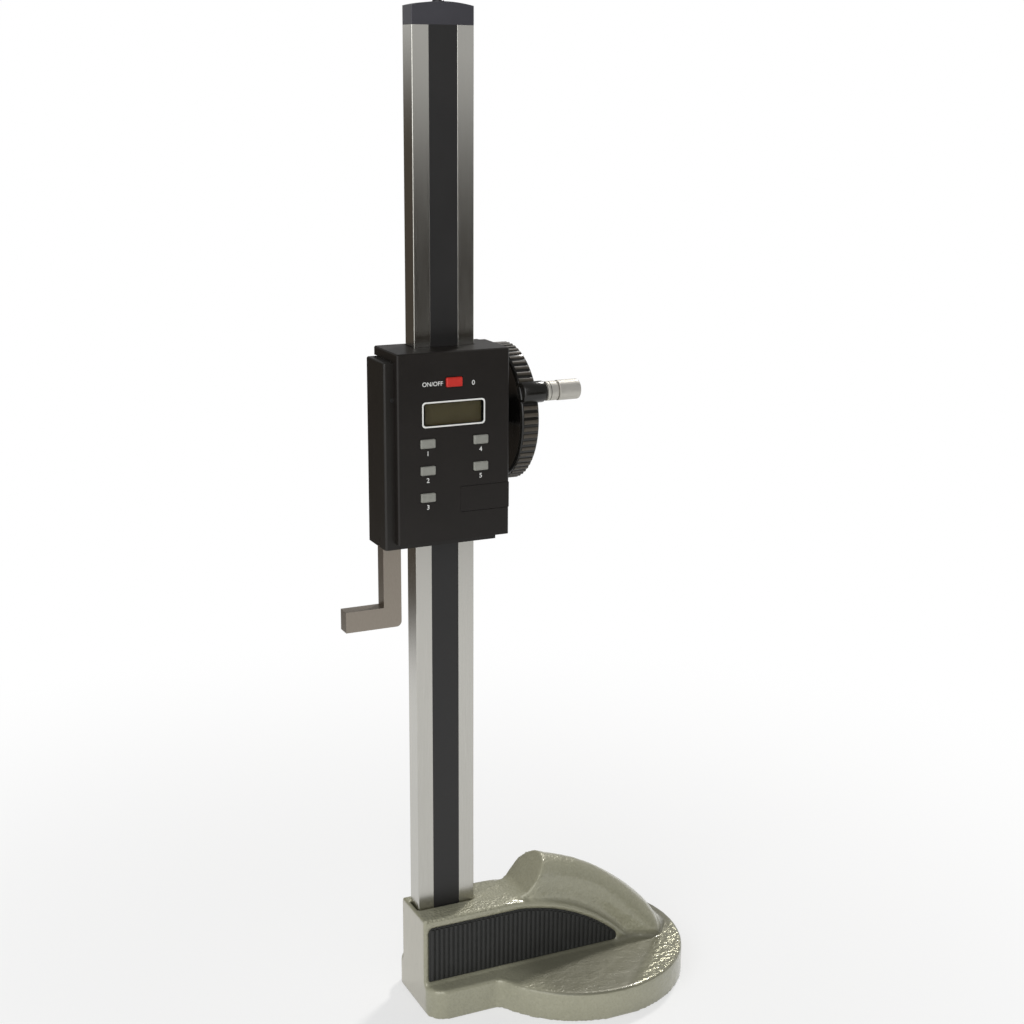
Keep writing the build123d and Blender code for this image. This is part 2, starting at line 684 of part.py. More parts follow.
with BuildPart() as carriage:
    with BuildSketch(Plane.XY.offset(CARRIAGE_BOTTOM)):
        with BuildLine():
            Polyline(
                (CARRIAGE_LEFT, CARRIAGE_FRONT),
                (CARRIAGE_RIGHT, CARRIAGE_FRONT),
                (CARRIAGE_RIGHT, SHAFT_Y),
                (BACK_LEFT, SHAFT_Y),
                (BACK_LEFT, CARRIAGE_SIDE_BACK),
                (CARRIAGE_LEFT, CARRIAGE_SIDE_BACK),
                close=True,
            )
        make_face()
        fillet(vertices().group_by(Axis.X)[0], CARRIAGE_EDGE)
    extrude(amount=CARRIAGE_TOP - CARRIAGE_BOTTOM)
    # guide for the beam, with recesses for the wipers at both ends
    with BuildSketch(Plane.XY.offset(CARRIAGE_BOTTOM)):
        Rectangle(2 * guide_half_x, 2 * guide_half_y)
    extrude(amount=CARRIAGE_TOP - CARRIAGE_BOTTOM, mode=Mode.SUBTRACT)
    for z in (CARRIAGE_BOTTOM, CARRIAGE_TOP - WIPER_THICK):
        with BuildSketch(Plane.XY.offset(z)):
            Rectangle(2 * wiper_half_x, 2 * wiper_half_y)
        extrude(amount=WIPER_THICK, mode=Mode.SUBTRACT)
    # recess for the gib
    with BuildSketch(front_plane(0)):
        with Locations((0, carriage_mid_z)):
            Rectangle(GIB_WIDTH + 2 * GIB_CLEAR, gib_height + 2 * GIB_CLEAR)
    extrude(amount=-gib_front, mode=Mode.SUBTRACT)
    # gib screw holes and the pocket for the electronics
    with BuildSketch(front_plane(gib_front)):
        with Locations((0, carriage_mid_z)):
            with GridLocations(GIB_SCREW_SPREAD, GIB_SCREW_SPAN, 2, 2):
                Circle(GIB_SCREW_R)
    extrude(amount=CHANNEL_SKIN + 1, mode=Mode.SUBTRACT)
    with BuildSketch(front_plane(pocket_floor)):
        with Locations(((POCKET_LEFT + POCKET_RIGHT) / 2, (POCKET_LOW + POCKET_HIGH) / 2)):
            Rectangle(POCKET_RIGHT - POCKET_LEFT, POCKET_HIGH - POCKET_LOW)
    extrude(amount=pocket_floor - CARRIAGE_FRONT, mode=Mode.SUBTRACT)
    # slot for the measuring arm and the notch beside it
    with BuildSketch(Plane.XY.offset(CARRIAGE_BOTTOM)):
        with Locations(((ARM_LEFT + arm_right) / 2, (ARM_FRONT + arm_back) / 2)):
            Rectangle(ARM_WIDTH + 2 * ARM_CLEAR, ARM_THICK + 2 * ARM_CLEAR)
    extrude(amount=ARM_TOP + ARM_CLEAR - CARRIAGE_BOTTOM, mode=Mode.SUBTRACT)
    with BuildSketch(side_plane(CARRIAGE_LEFT)):
        with BuildLine():
            Polyline(
                (ARM_FRONT, CARRIAGE_BOTTOM),
                (ARM_FRONT + NOTCH_WIDTH, CARRIAGE_BOTTOM),
                (ARM_FRONT, CARRIAGE_BOTTOM + NOTCH_HEIGHT),
                close=True,
            )
        make_face()
    extrude(amount=ARM_LEFT - CARRIAGE_LEFT, mode=Mode.SUBTRACT)
    # arm screw holes
    with BuildSketch(front_plane(CARRIAGE_SIDE_BACK)):
        with Locations((ARM_SCREW_X, ARM_SCREW_Z)):
            Circle(ARM_SCREW_R)
    extrude(amount=CARRIAGE_SIDE_BACK - CARRIAGE_FRONT, mode=Mode.SUBTRACT)
    with BuildSketch(front_plane(CARRIAGE_SIDE_BACK)):
        with Locations((ARM_SCREW_X, ARM_SCREW_LOW_Z)):
            Circle(ARM_SCREW_R)
    extrude(amount=CARRIAGE_SIDE_BACK - ARM_FRONT + ARM_SCREW_BLIND, mode=Mode.SUBTRACT)
    with BuildSketch(front_plane(CARRIAGE_SIDE_BACK)):
        with Locations((ARM_SCREW_X, ARM_SCREW_Z), (ARM_SCREW_X, ARM_SCREW_LOW_Z)):
            Circle(ARM_SCREW_HEAD_R)
    extrude(amount=ARM_SCREW_HEAD_H, mode=Mode.SUBTRACT)
    # pinion chamber and half bores for the shaft and its bushes
    with BuildSketch(shaft_plane(-pinion_pocket_half)):
        Circle(pinion_pocket_r)
    extrude(amount=2 * pinion_pocket_half, mode=Mode.SUBTRACT)
    with BuildSketch(shaft_plane(bush_inner_left)):
        Circle(BUSH_R)
    extrude(amount=CARRIAGE_RIGHT - bush_inner_left, mode=Mode.SUBTRACT)
    # gear cover screw holes
    with BuildSketch(front_plane(SHAFT_Y)):
        with Locations(*COVER_SCREW_PLACES):
            Circle(COVER_SCREW_R)
    extrude(amount=COVER_SCREW_REACH, mode=Mode.SUBTRACT)
    # lock screw bore and the pocket for its shoe
    with BuildSketch(front_plane(SHAFT_Y)):
        with Locations((LOCK_X, LOCK_Z)):
            Circle(LOCK_R + LOCK_RUN)
    extrude(amount=SHAFT_Y - guide_half_y, mode=Mode.SUBTRACT)
    with BuildSketch(front_plane(guide_half_y + SHOE_THICK + 2 * SHOE_GAP)):
        with Locations((LOCK_X, LOCK_Z)):
            Circle(SHOE_R)
    extrude(amount=SHOE_THICK + 3 * SHOE_GAP, mode=Mode.SUBTRACT)
    # case screw holes
    with BuildSketch(side_plane(CARRIAGE_RIGHT)):
        with Locations((CASE_SCREW_Y, CASE_SCREW_LOW), (CASE_SCREW_Y, CASE_SCREW_HIGH)):
            Circle(COVER_SCREW_R)
    extrude(amount=-CASE_SCREW_REACH, mode=Mode.SUBTRACT)
write(carriage.part, "carriage")

with BuildPart() as wipers:
    for z in (CARRIAGE_BOTTOM, CARRIAGE_TOP - WIPER_THICK):
        with BuildSketch(Plane.XY.offset(z)):
            Rectangle(2 * wiper_half_x, 2 * wiper_half_y)
            Rectangle(2 * guide_half_x, 2 * guide_half_y, mode=Mode.SUBTRACT)
        extrude(amount=WIPER_THICK)
write(wipers.part, "wipers")

with BuildPart() as gib:
    with BuildSketch(front_plane(-guide_half_y)):
        with Locations((0, carriage_mid_z)):
            Rectangle(GIB_WIDTH, gib_height)
            Rectangle(
                READER_WIDTH + 2 * GIB_CLEAR, READER_HEIGHT + 2 * GIB_CLEAR, mode=Mode.SUBTRACT
            )
    extrude(amount=GIB_THICK)
write(gib.part, "gib")

with BuildPart() as gib_screws:
    with BuildSketch(front_plane(gib_front)):
        with Locations((0, carriage_mid_z)):
            with GridLocations(GIB_SCREW_SPREAD, GIB_SCREW_SPAN, 2, 2):
                Circle(GIB_SCREW_R)
    extrude(amount=GIB_SCREW_LENGTH)
    with BuildSketch(front_plane(gib_front - GIB_SCREW_LENGTH)):
        with Locations((0, carriage_mid_z)):
            with GridLocations(GIB_SCREW_SPREAD, GIB_SCREW_SPAN, 2, 2):
                RegularPolygon(GIB_SCREW_R / 2, 6)
    extrude(amount=-GIB_SCREW_SINK, mode=Mode.SUBTRACT)
write(gib_screws.part, "gib_screws")

with BuildPart() as reader_board:
    with BuildSketch(front_plane(-BEAM_DEPTH / 2 - READER_GAP)):
        with Locations((0, carriage_mid_z)):
            Rectangle(READER_WIDTH, READER_HEIGHT)
    extrude(amount=-BEAM_DEPTH / 2 - READER_GAP - gib_front)
write(reader_board.part, "reader_board")

# ---------------------------------------------------- measuring arm
arm_foot_top = ARM_BOTTOM + ARM_FOOT
with BuildPart() as measuring_arm:
    with BuildSketch(front_plane(ARM_FRONT)):
        with BuildLine():
            Polyline(
                (ARM_LEFT - ARM_REACH, ARM_BOTTOM),
                (arm_right, ARM_BOTTOM),
                (arm_right, ARM_TOP),
                (ARM_LEFT, ARM_TOP),
                (ARM_LEFT, arm_foot_top),
                (ARM_LEFT - ARM_REACH, arm_foot_top),
                close=True,
            )
        make_face()
        fillet(vertices().filter_by_position(Axis.X, arm_right - 1, arm_right + 1).sort_by(
            Axis.Y)[0], ARM_CORNER)
        with Locations((ARM_SCREW_X, ARM_SCREW_Z), (ARM_SCREW_X, ARM_SCREW_LOW_Z)):
            Circle(ARM_SCREW_R, mode=Mode.SUBTRACT)
    extrude(amount=-ARM_THICK)
write(measuring_arm.part, "measuring_arm")

with BuildPart() as arm_screws:
    with BuildSketch(front_plane(CARRIAGE_SIDE_BACK - ARM_SCREW_HEAD_H)):
        with Locations((ARM_SCREW_X, ARM_SCREW_Z)):
            Circle(ARM_SCREW_R)
    extrude(amount=CARRIAGE_SIDE_BACK - ARM_SCREW_HEAD_H - CARRIAGE_FRONT - 0.1)
    with BuildSketch(front_plane(CARRIAGE_SIDE_BACK - ARM_SCREW_HEAD_H)):
        with Locations((ARM_SCREW_X, ARM_SCREW_LOW_Z)):
            Circle(ARM_SCREW_R)
    extrude(amount=CARRIAGE_SIDE_BACK - ARM_SCREW_HEAD_H - ARM_FRONT + ARM_SCREW_BLIND)
    with BuildSketch(front_plane(CARRIAGE_SIDE_BACK)):
        with Locations((ARM_SCREW_X, ARM_SCREW_Z), (ARM_SCREW_X, ARM_SCREW_LOW_Z)):
            Circle(ARM_SCREW_HEAD_R)
    extrude(amount=ARM_SCREW_HEAD_H)
    with BuildSketch(front_plane(CARRIAGE_SIDE_BACK)):
        with Locations((ARM_SCREW_X, ARM_SCREW_Z), (ARM_SCREW_X, ARM_SCREW_LOW_Z)):
            RegularPolygon(ARM_SCREW_HEAD_R / 2, 6)
    extrude(amount=ARM_SCREW_HEAD_H / 2, mode=Mode.SUBTRACT)
write(arm_screws.part, "arm_screws")

# ------------------------------------------------- shaft and gear cover
with BuildPart() as shaft_bushes:
    with BuildSketch(shaft_plane(bush_inner_left)):
        Circle(BUSH_R)
        Circle(SHAFT_R + BUSH_RUN, mode=Mode.SUBTRACT)
    extrude(amount=BUSH_INNER_LENGTH)
    with BuildSketch(shaft_plane(bush_outer_left)):
        Circle(BUSH_R)
        Circle(SHAFT_R + BUSH_RUN, mode=Mode.SUBTRACT)
    extrude(amount=BUSH_OUTER_LENGTH)
write(shaft_bushes.part, "shaft_bushes")

with BuildPart() as gear_cover:
    with BuildSketch(shaft_plane(COVER_LEFT)):
        Circle(COVER_R)
        with Locations((-COVER_R / 2, 0)):
            Rectangle(COVER_R, 2 * COVER_R, mode=Mode.SUBTRACT)
    extrude(amount=CARRIAGE_RIGHT - COVER_LEFT)
    chamfer(edges().filter_by(GeomType.CIRCLE), length=COVER_ROUND)
    with BuildSketch(front_plane(SHAFT_Y)):
        with Locations(((COVER_LEFT + CARRIAGE_RIGHT) / 2, SHAFT_Z)):
            RectangleRounded(
                CARRIAGE_RIGHT - COVER_LEFT, 2 * (COVER_R + COVER_FLANGE), COVER_FLANGE / 2
            )
    extrude(amount=-COVER_FLANGE_THICK)
    with BuildSketch(shaft_plane(-pinion_pocket_half)):
        Circle(pinion_pocket_r)
    extrude(amount=2 * pinion_pocket_half, mode=Mode.SUBTRACT)
    with BuildSketch(shaft_plane(bush_inner_left)):
        Circle(BUSH_R)
    extrude(amount=CARRIAGE_RIGHT - bush_inner_left, mode=Mode.SUBTRACT)
    with BuildSketch(front_plane(SHAFT_Y)):
        with Locations(*COVER_SCREW_PLACES):
            Circle(COVER_SCREW_R)
    extrude(amount=-COVER_FLANGE_THICK, mode=Mode.SUBTRACT)
write(gear_cover.part, "gear_cover")

with BuildPart() as gear_cover_screws:
    with BuildSketch(front_plane(SHAFT_Y + COVER_FLANGE_THICK)):
        with Locations(*COVER_SCREW_PLACES):
            Circle(COVER_SCREW_R)
    extrude(amount=COVER_FLANGE_THICK + COVER_SCREW_REACH)
    with BuildSketch(front_plane(SHAFT_Y + COVER_FLANGE_THICK)):
        with Locations(*COVER_SCREW_PLACES):
            Circle(COVER_SCREW_HEAD_R)
    extrude(amount=-COVER_SCREW_HEAD_H)
    with BuildSketch(front_plane(SHAFT_Y + COVER_FLANGE_THICK + COVER_SCREW_HEAD_H)):
        with Locations(*COVER_SCREW_PLACES):
            RegularPolygon(COVER_SCREW_R * 0.8, 6)
    extrude(amount=COVER_SCREW_HEAD_H / 2, mode=Mode.SUBTRACT)
write(gear_cover_screws.part, "gear_cover_screws")

# ---------------------------------------------------------- lock screw
with BuildPart() as lock_shoe:
    with BuildSketch(front_plane(guide_half_y + SHOE_THICK)):
        with Locations((LOCK_X, LOCK_Z)):
            Circle(SHOE_R)
    extrude(amount=SHOE_THICK)
write(lock_shoe.part, "lock_shoe")

lock_start = guide_half_y + SHOE_THICK + SHOE_GAP
knob_start = SHAFT_Y + LOCK_NECK
with BuildPart() as lock_screw:
    with BuildSketch(front_plane(lock_start)):
        with Locations((LOCK_X, LOCK_Z)):
            Circle(LOCK_R)
    extrude(amount=lock_start - knob_start - LOCK_KNOB_LENGTH)
    with BuildSketch(front_plane(knob_start)):
        with Locations((LOCK_X, LOCK_Z)):
            Circle(LOCK_KNOB_R - LOCK_RIDGE_R)
            with PolarLocations(LOCK_KNOB_R - LOCK_RIDGE_R, LOCK_RIDGES):
                Circle(LOCK_RIDGE_R)
    extrude(amount=-LOCK_KNOB_LENGTH)
write(lock_screw.part, "lock_screw")

# ============================================================== display
window_back = CASE_FRONT + CASE_WALL
board_front = window_back + PANEL_CLEAR + PANEL_THICK
board_left = POCKET_LEFT + BOARD_MARGIN
board_right = POCKET_RIGHT - BOARD_MARGIN
board_low = POCKET_LOW + BOARD_MARGIN
board_high = POCKET_HIGH - BOARD_MARGIN
cup_r = CELL_R + CELL_CLEAR + TRAY_WALL
post_places = [
    (board_left + POST_INSET, board_low + POST_INSET),
    (board_right - POST_INSET, board_low + POST_INSET),
    (board_left + POST_INSET, board_high - POST_INSET),
    (board_right - POST_INSET, board_high - POST_INSET),
]
door_mid_x = (DOOR_LEFT + CASE_RIGHT) / 2
door_length = CASE_RIGHT - DOOR_LEFT
cell_front = CASE_FRONT + DOOR_THICK + DOOR_CLEAR
cell_back = cell_front + CELL_THICK
cup_floor = cell_back + CONTACT_THICK

with BuildPart() as display_case:
    with BuildSketch(Plane.XY.offset(CASE_BOTTOM)):
        with BuildLine():
            Polyline(
                (CASE_LEFT, CASE_FRONT),
                (CASE_RIGHT, CASE_FRONT),
                (CASE_RIGHT, CASE_BACK - CASE_STEP),
                (CASE_RIGHT - 1.5 * CASE_STEP, CASE_BACK - CASE_STEP),
                (CASE_RIGHT - 1.5 * CASE_STEP, CASE_BACK),
                (CASE_LEFT, CASE_BACK),
                close=True,
            )
        make_face()
        fillet(vertices().group_by(Axis.Y)[0], CASE_EDGE)
        fillet(vertices().group_by(Axis.X)[0].sort_by(Axis.Y)[-1], CASE_EDGE)
    extrude(amount=CASE_TOP - CASE_BOTTOM)
    chamfer(faces().sort_by(Axis.Z)[-1].edges(), length=CASE_TOP_EDGE)
    # room for the carriage, open to the left, to the back and below
    with BuildSketch(Plane.XY.offset(CASE_BOTTOM)):
        with Locations((CARRIAGE_RIGHT + CASE_FIT, CARRIAGE_FRONT - CASE_FIT)):
            Rectangle(
                2 * (CASE_RIGHT - CASE_LEFT), 2 * (CASE_BACK - CASE_FRONT),
                align=(Align.MAX, Align.MIN),
            )
    extrude(amount=CARRIAGE_TOP + CASE_FIT - CASE_BOTTOM, mode=Mode.SUBTRACT)
    # room for the board behind the front wall
    with BuildSketch(front_plane(window_back)):
        with Locations(((POCKET_LEFT + POCKET_RIGHT) / 2, (POCKET_LOW + POCKET_HIGH) / 2)):
            Rectangle(POCKET_RIGHT - POCKET_LEFT, POCKET_HIGH - POCKET_LOW)
    extrude(amount=window_back - CARRIAGE_FRONT, mode=Mode.SUBTRACT)
    with BuildSketch(front_plane(window_back)):
        with Locations(*post_places):
            Circle(POST_R)
    extrude(amount=window_back - board_front)
    with BuildSketch(front_plane(board_front)):
        with Locations(*post_places):
            Circle(BOARD_SCREW_R)
    extrude(amount=board_front - window_back, mode=Mode.SUBTRACT)
    # slot for the beam
    with BuildSketch(Plane.XY.offset(CARRIAGE_TOP)):
        Rectangle(BEAM_WIDTH + 2 * SLOT_CLEAR, BEAM_DEPTH + 2 * SLOT_CLEAR)
    extrude(amount=CASE_TOP - CARRIAGE_TOP, mode=Mode.SUBTRACT)
    # openings for the display frame and the buttons
    with BuildSketch(front_plane(window_back)):
        with Locations((LCD_MID_X, LCD_MID_Z)):
            RectangleRounded(LCD_WIDTH, LCD_HEIGHT, LCD_ROUND)
        for x, z, width, height in BUTTON_PLACES.values():
            with Locations((x, z)):
                RectangleRounded(
                    width + 2 * BUTTON_CLEAR, height + 2 * BUTTON_CLEAR, BUTTON_ROUND
                )
    extrude(amount=CASE_WALL, mode=Mode.SUBTRACT)
    # cup for the cell, open to the front behind the sliding door
    with BuildSketch(front_plane(cup_floor + TRAY_WALL)):
        with Locations((CELL_X, CELL_Z)):
            Circle(cup_r)
    extrude(amount=cup_floor + TRAY_WALL - window_back)
    with BuildSketch(front_plane(cup_floor)):
        with Locations((CELL_X, CELL_Z)):
            Circle(CELL_R + CELL_CLEAR)
    extrude(amount=cup_floor - CASE_FRONT, mode=Mode.SUBTRACT)
    # slideway for the battery door
    with BuildSketch(front_plane(CASE_FRONT + DOOR_THICK + DOOR_CLEAR)):
        with Locations((door_mid_x, CELL_Z)):
            Rectangle(door_length + 2 * DOOR_CLEAR, DOOR_HEIGHT + 2 * DOOR_CLEAR)
    extrude(amount=DOOR_THICK + 1, mode=Mode.SUBTRACT)
    with BuildSketch(front_plane(CASE_FRONT + DOOR_THICK + DOOR_CLEAR)):
        with Locations((door_mid_x, CELL_Z)):
            Rectangle(
                door_length + 2 * DOOR_CLEAR, DOOR_HEIGHT + 2 * DOOR_TONGUE + 2 * DOOR_CLEAR
            )
    extrude(amount=DOOR_THICK / 2 + 2 * DOOR_CLEAR, mode=Mode.SUBTRACT)
    # notch that clears the shaft
    with BuildSketch(shaft_plane(CARRIAGE_RIGHT)):
        Circle(SHAFT_R + SHAFT_CLEAR)
    extrude(amount=CASE_RIGHT - CARRIAGE_RIGHT, mode=Mode.SUBTRACT)
    # case screw holes
    with BuildSketch(side_plane(CARRIAGE_RIGHT)):
        with Locations((CASE_SCREW_Y, CASE_SCREW_LOW), (CASE_SCREW_Y, CASE_SCREW_HIGH)):
            Circle(COVER_SCREW_R)
    extrude(amount=CASE_RIGHT - CARRIAGE_RIGHT, mode=Mode.SUBTRACT)
    with BuildSketch(side_plane(CASE_RIGHT)):
        with Locations((CASE_SCREW_Y, CASE_SCREW_LOW), (CASE_SCREW_Y, CASE_SCREW_HIGH)):
            Circle(COVER_SCREW_HEAD_R)
    extrude(amount=-COVER_SCREW_HEAD_H, mode=Mode.SUBTRACT)
write(display_case.part, "display_case")

with BuildPart() as case_screws:
    with BuildSketch(side_plane(CASE_RIGHT - COVER_SCREW_HEAD_H)):
        with Locations((CASE_SCREW_Y, CASE_SCREW_LOW), (CASE_SCREW_Y, CASE_SCREW_HIGH)):
            Circle(COVER_SCREW_HEAD_R)
    extrude(amount=COVER_SCREW_HEAD_H)
    with BuildSketch(side_plane(CASE_RIGHT - COVER_SCREW_HEAD_H)):
        with Locations((CASE_SCREW_Y, CASE_SCREW_LOW), (CASE_SCREW_Y, CASE_SCREW_HIGH)):
            Circle(COVER_SCREW_R)
    extrude(amount=-(CASE_RIGHT - COVER_SCREW_HEAD_H - CARRIAGE_RIGHT) - CASE_SCREW_REACH)
    with BuildSketch(side_plane(CASE_RIGHT)):
        with Locations((CASE_SCREW_Y, CASE_SCREW_LOW), (CASE_SCREW_Y, CASE_SCREW_HIGH)):
            RegularPolygon(COVER_SCREW_R * 0.8, 6)
    extrude(amount=-COVER_SCREW_HEAD_H / 2, mode=Mode.SUBTRACT)
write(case_screws.part, "case_screws")

with BuildPart() as lcd_bezel:
    with BuildSketch(front_plane(window_back)):
        with Locations((LCD_MID_X, LCD_MID_Z)):
            RectangleRounded(LCD_WIDTH, LCD_HEIGHT, LCD_ROUND)
            RectangleRounded(
                LCD_WIDTH - 2 * LCD_LINE,
                LCD_HEIGHT - 2 * LCD_LINE,
                LCD_ROUND - LCD_LINE / 2,
                mode=Mode.SUBTRACT,
            )
    extrude(amount=CASE_WALL + BEZEL_RISE)
write(lcd_bezel.part, "lcd_bezel")

with BuildPart() as lcd_window:
    with BuildSketch(front_plane(CASE_FRONT + WINDOW_THICK)):
        with Locations((LCD_MID_X, LCD_MID_Z)):
            RectangleRounded(
                LCD_WIDTH - 2 * LCD_LINE, LCD_HEIGHT - 2 * LCD_LINE, LCD_ROUND - LCD_LINE / 2
            )
    extrude(amount=WINDOW_THICK)
write(lcd_window.part, "lcd_window")

with BuildPart() as lcd_panel:
    with BuildSketch(front_plane(board_front)):
        with Locations((LCD_MID_X, LCD_MID_Z)):
            Rectangle(PANEL_WIDTH, PANEL_HEIGHT)
    extrude(amount=PANEL_THICK)
write(lcd_panel.part, "lcd_panel")

with BuildPart() as display_board:
    with BuildSketch(front_plane(board_front + BOARD_THICK)):
        with Locations(((board_left + board_right) / 2, (board_low + board_high) / 2)):
            Rectangle(board_right - board_left, board_high - board_low)
        with Locations((CELL_X - cup_r - BOARD_MARGIN, CELL_Z)):
            Rectangle(
                board_right - board_left, 2 * (cup_r + BOARD_MARGIN),
                align=(Align.MIN, Align.CENTER),
                mode=Mode.SUBTRACT,
            )
        with Locations(*post_places):
            Circle(BOARD_SCREW_R, mode=Mode.SUBTRACT)
    extrude(amount=BOARD_THICK)
write(display_board.part, "display_board")

with BuildPart() as board_screws:
    with BuildSketch(front_plane(board_front + BOARD_THICK)):
        with Locations(*post_places):
            Circle(BOARD_SCREW_R)
    extrude(amount=board_front + BOARD_THICK - window_back)
    with BuildSketch(front_plane(board_front + BOARD_THICK)):
        with Locations(*post_places):
            Circle(BOARD_SCREW_HEAD_R)
    extrude(amount=-BOARD_SCREW_HEAD_H)
write(board_screws.part, "board_screws")

with BuildPart() as battery_cell:
    with BuildSketch(front_plane(cell_back)):
        with Locations((CELL_X, CELL_Z)):
            Circle(CELL_R)
    extrude(amount=CELL_THICK)
    chamfer(edges().filter_by(GeomType.CIRCLE), length=CELL_ROUND)
write(battery_cell.part, "battery_cell")

with BuildPart() as battery_contact:
    with BuildSketch(front_plane(cup_floor)):
        with Locations((CELL_X, CELL_Z)):
            Circle(CELL_R * 0.7)
    extrude(amount=CONTACT_THICK)
write(battery_contact.part, "battery_contact")

with BuildPart() as battery_door:
    with BuildSketch(front_plane(CASE_FRONT + DOOR_THICK)):
        with Locations((door_mid_x, CELL_Z)):
            Rectangle(door_length, DOOR_HEIGHT)
    extrude(amount=DOOR_THICK)
    with BuildSketch(front_plane(CASE_FRONT + DOOR_THICK)):
        with Locations((door_mid_x, CELL_Z)):
            Rectangle(door_length, DOOR_HEIGHT + 2 * DOOR_TONGUE)
    extrude(amount=DOOR_THICK / 2)
write(battery_door.part, "battery_door")

# push buttons, each held behind the front wall by its flange
for label, (x, z, width, height) in BUTTON_PLACES.items():
    with BuildPart() as button:
        with BuildSketch(front_plane(window_back)):
            with Locations((x, z)):
                RectangleRounded(width, height, BUTTON_ROUND)
        extrude(amount=CASE_WALL + BUTTON_RISE)
        chamfer(faces().sort_by(Axis.Y)[0].edges(), length=BUTTON_TOP_ROUND)
        flange_front = window_back + FLANGE_CLEAR
        with BuildSketch(front_plane(window_back)):
            with Locations((x, z)):
                RectangleRounded(width, height, BUTTON_ROUND)
        extrude(amount=-FLANGE_CLEAR)
        with BuildSketch(front_plane(flange_front)):
            with Locations((x, z)):
                Rectangle(width + 2 * BUTTON_LIP, height + 2 * BUTTON_LIP)
        extrude(amount=-BUTTON_FLANGE)
        with BuildSketch(front_plane(flange_front + BUTTON_FLANGE)):
            with Locations((x, z)):
                Circle(BUTTON_STEM_R)
        extrude(amount=-(board_front - BUTTON_TRAVEL - STEM_GAP - flange_front - BUTTON_FLANGE))
    write(button.part, label)

# ============================================================ handwheel
web_left = WHEEL_LEFT + WHEEL_DISH
rim_inner = WHEEL_R - RIDGE_DEPTH - RIM_THICK
ridge_r = pi * WHEEL_R / RIDGES
crank_y = CRANK_RADIUS * cos(radians(CRANK_ANGLE))
crank_z = CRANK_RADIUS * sin(radians(CRANK_ANGLE))


def crank_plane(x):
    """Plane across the crank handle at x, centred on the handle."""
    origin = (x, SHAFT_Y + crank_y, SHAFT_Z + crank_z)
    return Plane(origin=origin, x_dir=(0, 1, 0), z_dir=(1, 0, 0))


with BuildPart() as handwheel:
    # ridged rim with rounded shoulders
    with BuildSketch(shaft_plane(WHEEL_LEFT)):
        Circle(WHEEL_R - RIDGE_DEPTH)
        with PolarLocations(WHEEL_R - ridge_r, RIDGES):
            Circle(ridge_r)
    extrude(amount=WHEEL_WIDTH)
    with BuildSketch(shaft_plane(WHEEL_LEFT)):
        Circle(WHEEL_R)
    extrude(amount=WHEEL_WIDTH, mode=Mode.INTERSECT)
    # dished on both sides of the web
    with BuildSketch(shaft_plane(WHEEL_LEFT)):
        Circle(rim_inner)
    extrude(amount=WHEEL_DISH, mode=Mode.SUBTRACT)
    with BuildSketch(shaft_plane(web_left + WEB_THICK)):
        Circle(rim_inner)
    extrude(amount=WHEEL_WIDTH, mode=Mode.SUBTRACT)
    with BuildSketch(shaft_plane(HUB_LEFT)):
        Circle(HUB_R)
    extrude(amount=HUB_RIGHT - HUB_LEFT)
    # boss for the crank handle
    with BuildSketch(crank_plane(WHEEL_LEFT - BOSS_PROUD)):
        Circle(BOSS_R)
    extrude(amount=BOSS_LENGTH)
    with BuildSketch(shaft_plane(HUB_LEFT)):
        Circle(SHAFT_R)
    extrude(amount=HUB_RIGHT - HUB_LEFT - HUB_END, mode=Mode.SUBTRACT)
    with BuildSketch(shaft_plane(HUB_LEFT)):
        Circle(WHEEL_SCREW_R)
    extrude(amount=HUB_RIGHT - HUB_LEFT, mode=Mode.SUBTRACT)
    with BuildSketch(crank_plane(WHEEL_LEFT - BOSS_PROUD)):
        Circle(STUD_R)
    extrude(amount=BOSS_LENGTH, mode=Mode.SUBTRACT)
    with BuildSketch(crank_plane(WHEEL_LEFT - BOSS_PROUD)):
        Circle(STUD_HEAD_R)
    extrude(amount=STUD_RECESS + STUD_HEAD_H, mode=Mode.SUBTRACT)
write(handwheel.part, "handwheel")

shaft_right = HUB_RIGHT - HUB_END
with BuildPart() as drive_shaft:
    with BuildSketch(shaft_plane(SHAFT_LEFT)):
        Circle(SHAFT_R)
    extrude(amount=shaft_right - SHAFT_LEFT)
    with BuildSketch(shaft_plane(shaft_right)):
        Circle(WHEEL_SCREW_R)
    extrude(amount=-WHEEL_SCREW_REACH, mode=Mode.SUBTRACT)
write(drive_shaft.part, "drive_shaft")

with BuildPart() as wheel_screw:
    with BuildSketch(shaft_plane(HUB_RIGHT)):
        Circle(WHEEL_SCREW_HEAD_R)
    extrude(amount=WHEEL_SCREW_HEAD_H)
    with BuildSketch(shaft_plane(HUB_RIGHT)):
        Circle(WHEEL_SCREW_R)
    extrude(amount=-HUB_END - WHEEL_SCREW_REACH)
    with BuildSketch(shaft_plane(HUB_RIGHT + WHEEL_SCREW_HEAD_H)):
        RegularPolygon(WHEEL_SCREW_R, 6)
    extrude(amount=-WHEEL_SCREW_HEAD_H / 2, mode=Mode.SUBTRACT)
write(wheel_screw.part, "wheel_screw")

boss_left = WHEEL_LEFT - BOSS_PROUD
boss_right = boss_left + BOSS_LENGTH
collar_right = boss_right + COLLAR_NECK + COLLAR_LENGTH
sleeve_left = collar_right + SLEEVE_GAP
stud_right = sleeve_left + SLEEVE_STEP + SLEEVE_LENGTH - SLEEVE_END
with BuildPart() as crank_stud:
    with BuildSketch(crank_plane(boss_left + STUD_RECESS)):
        Circle(STUD_HEAD_R)
    extrude(amount=STUD_HEAD_H)
    with BuildSketch(crank_plane(boss_left + STUD_RECESS)):
        Circle(STUD_R)
    extrude(amount=stud_right - boss_left - STUD_RECESS)
write(crank_stud.part, "crank_stud")

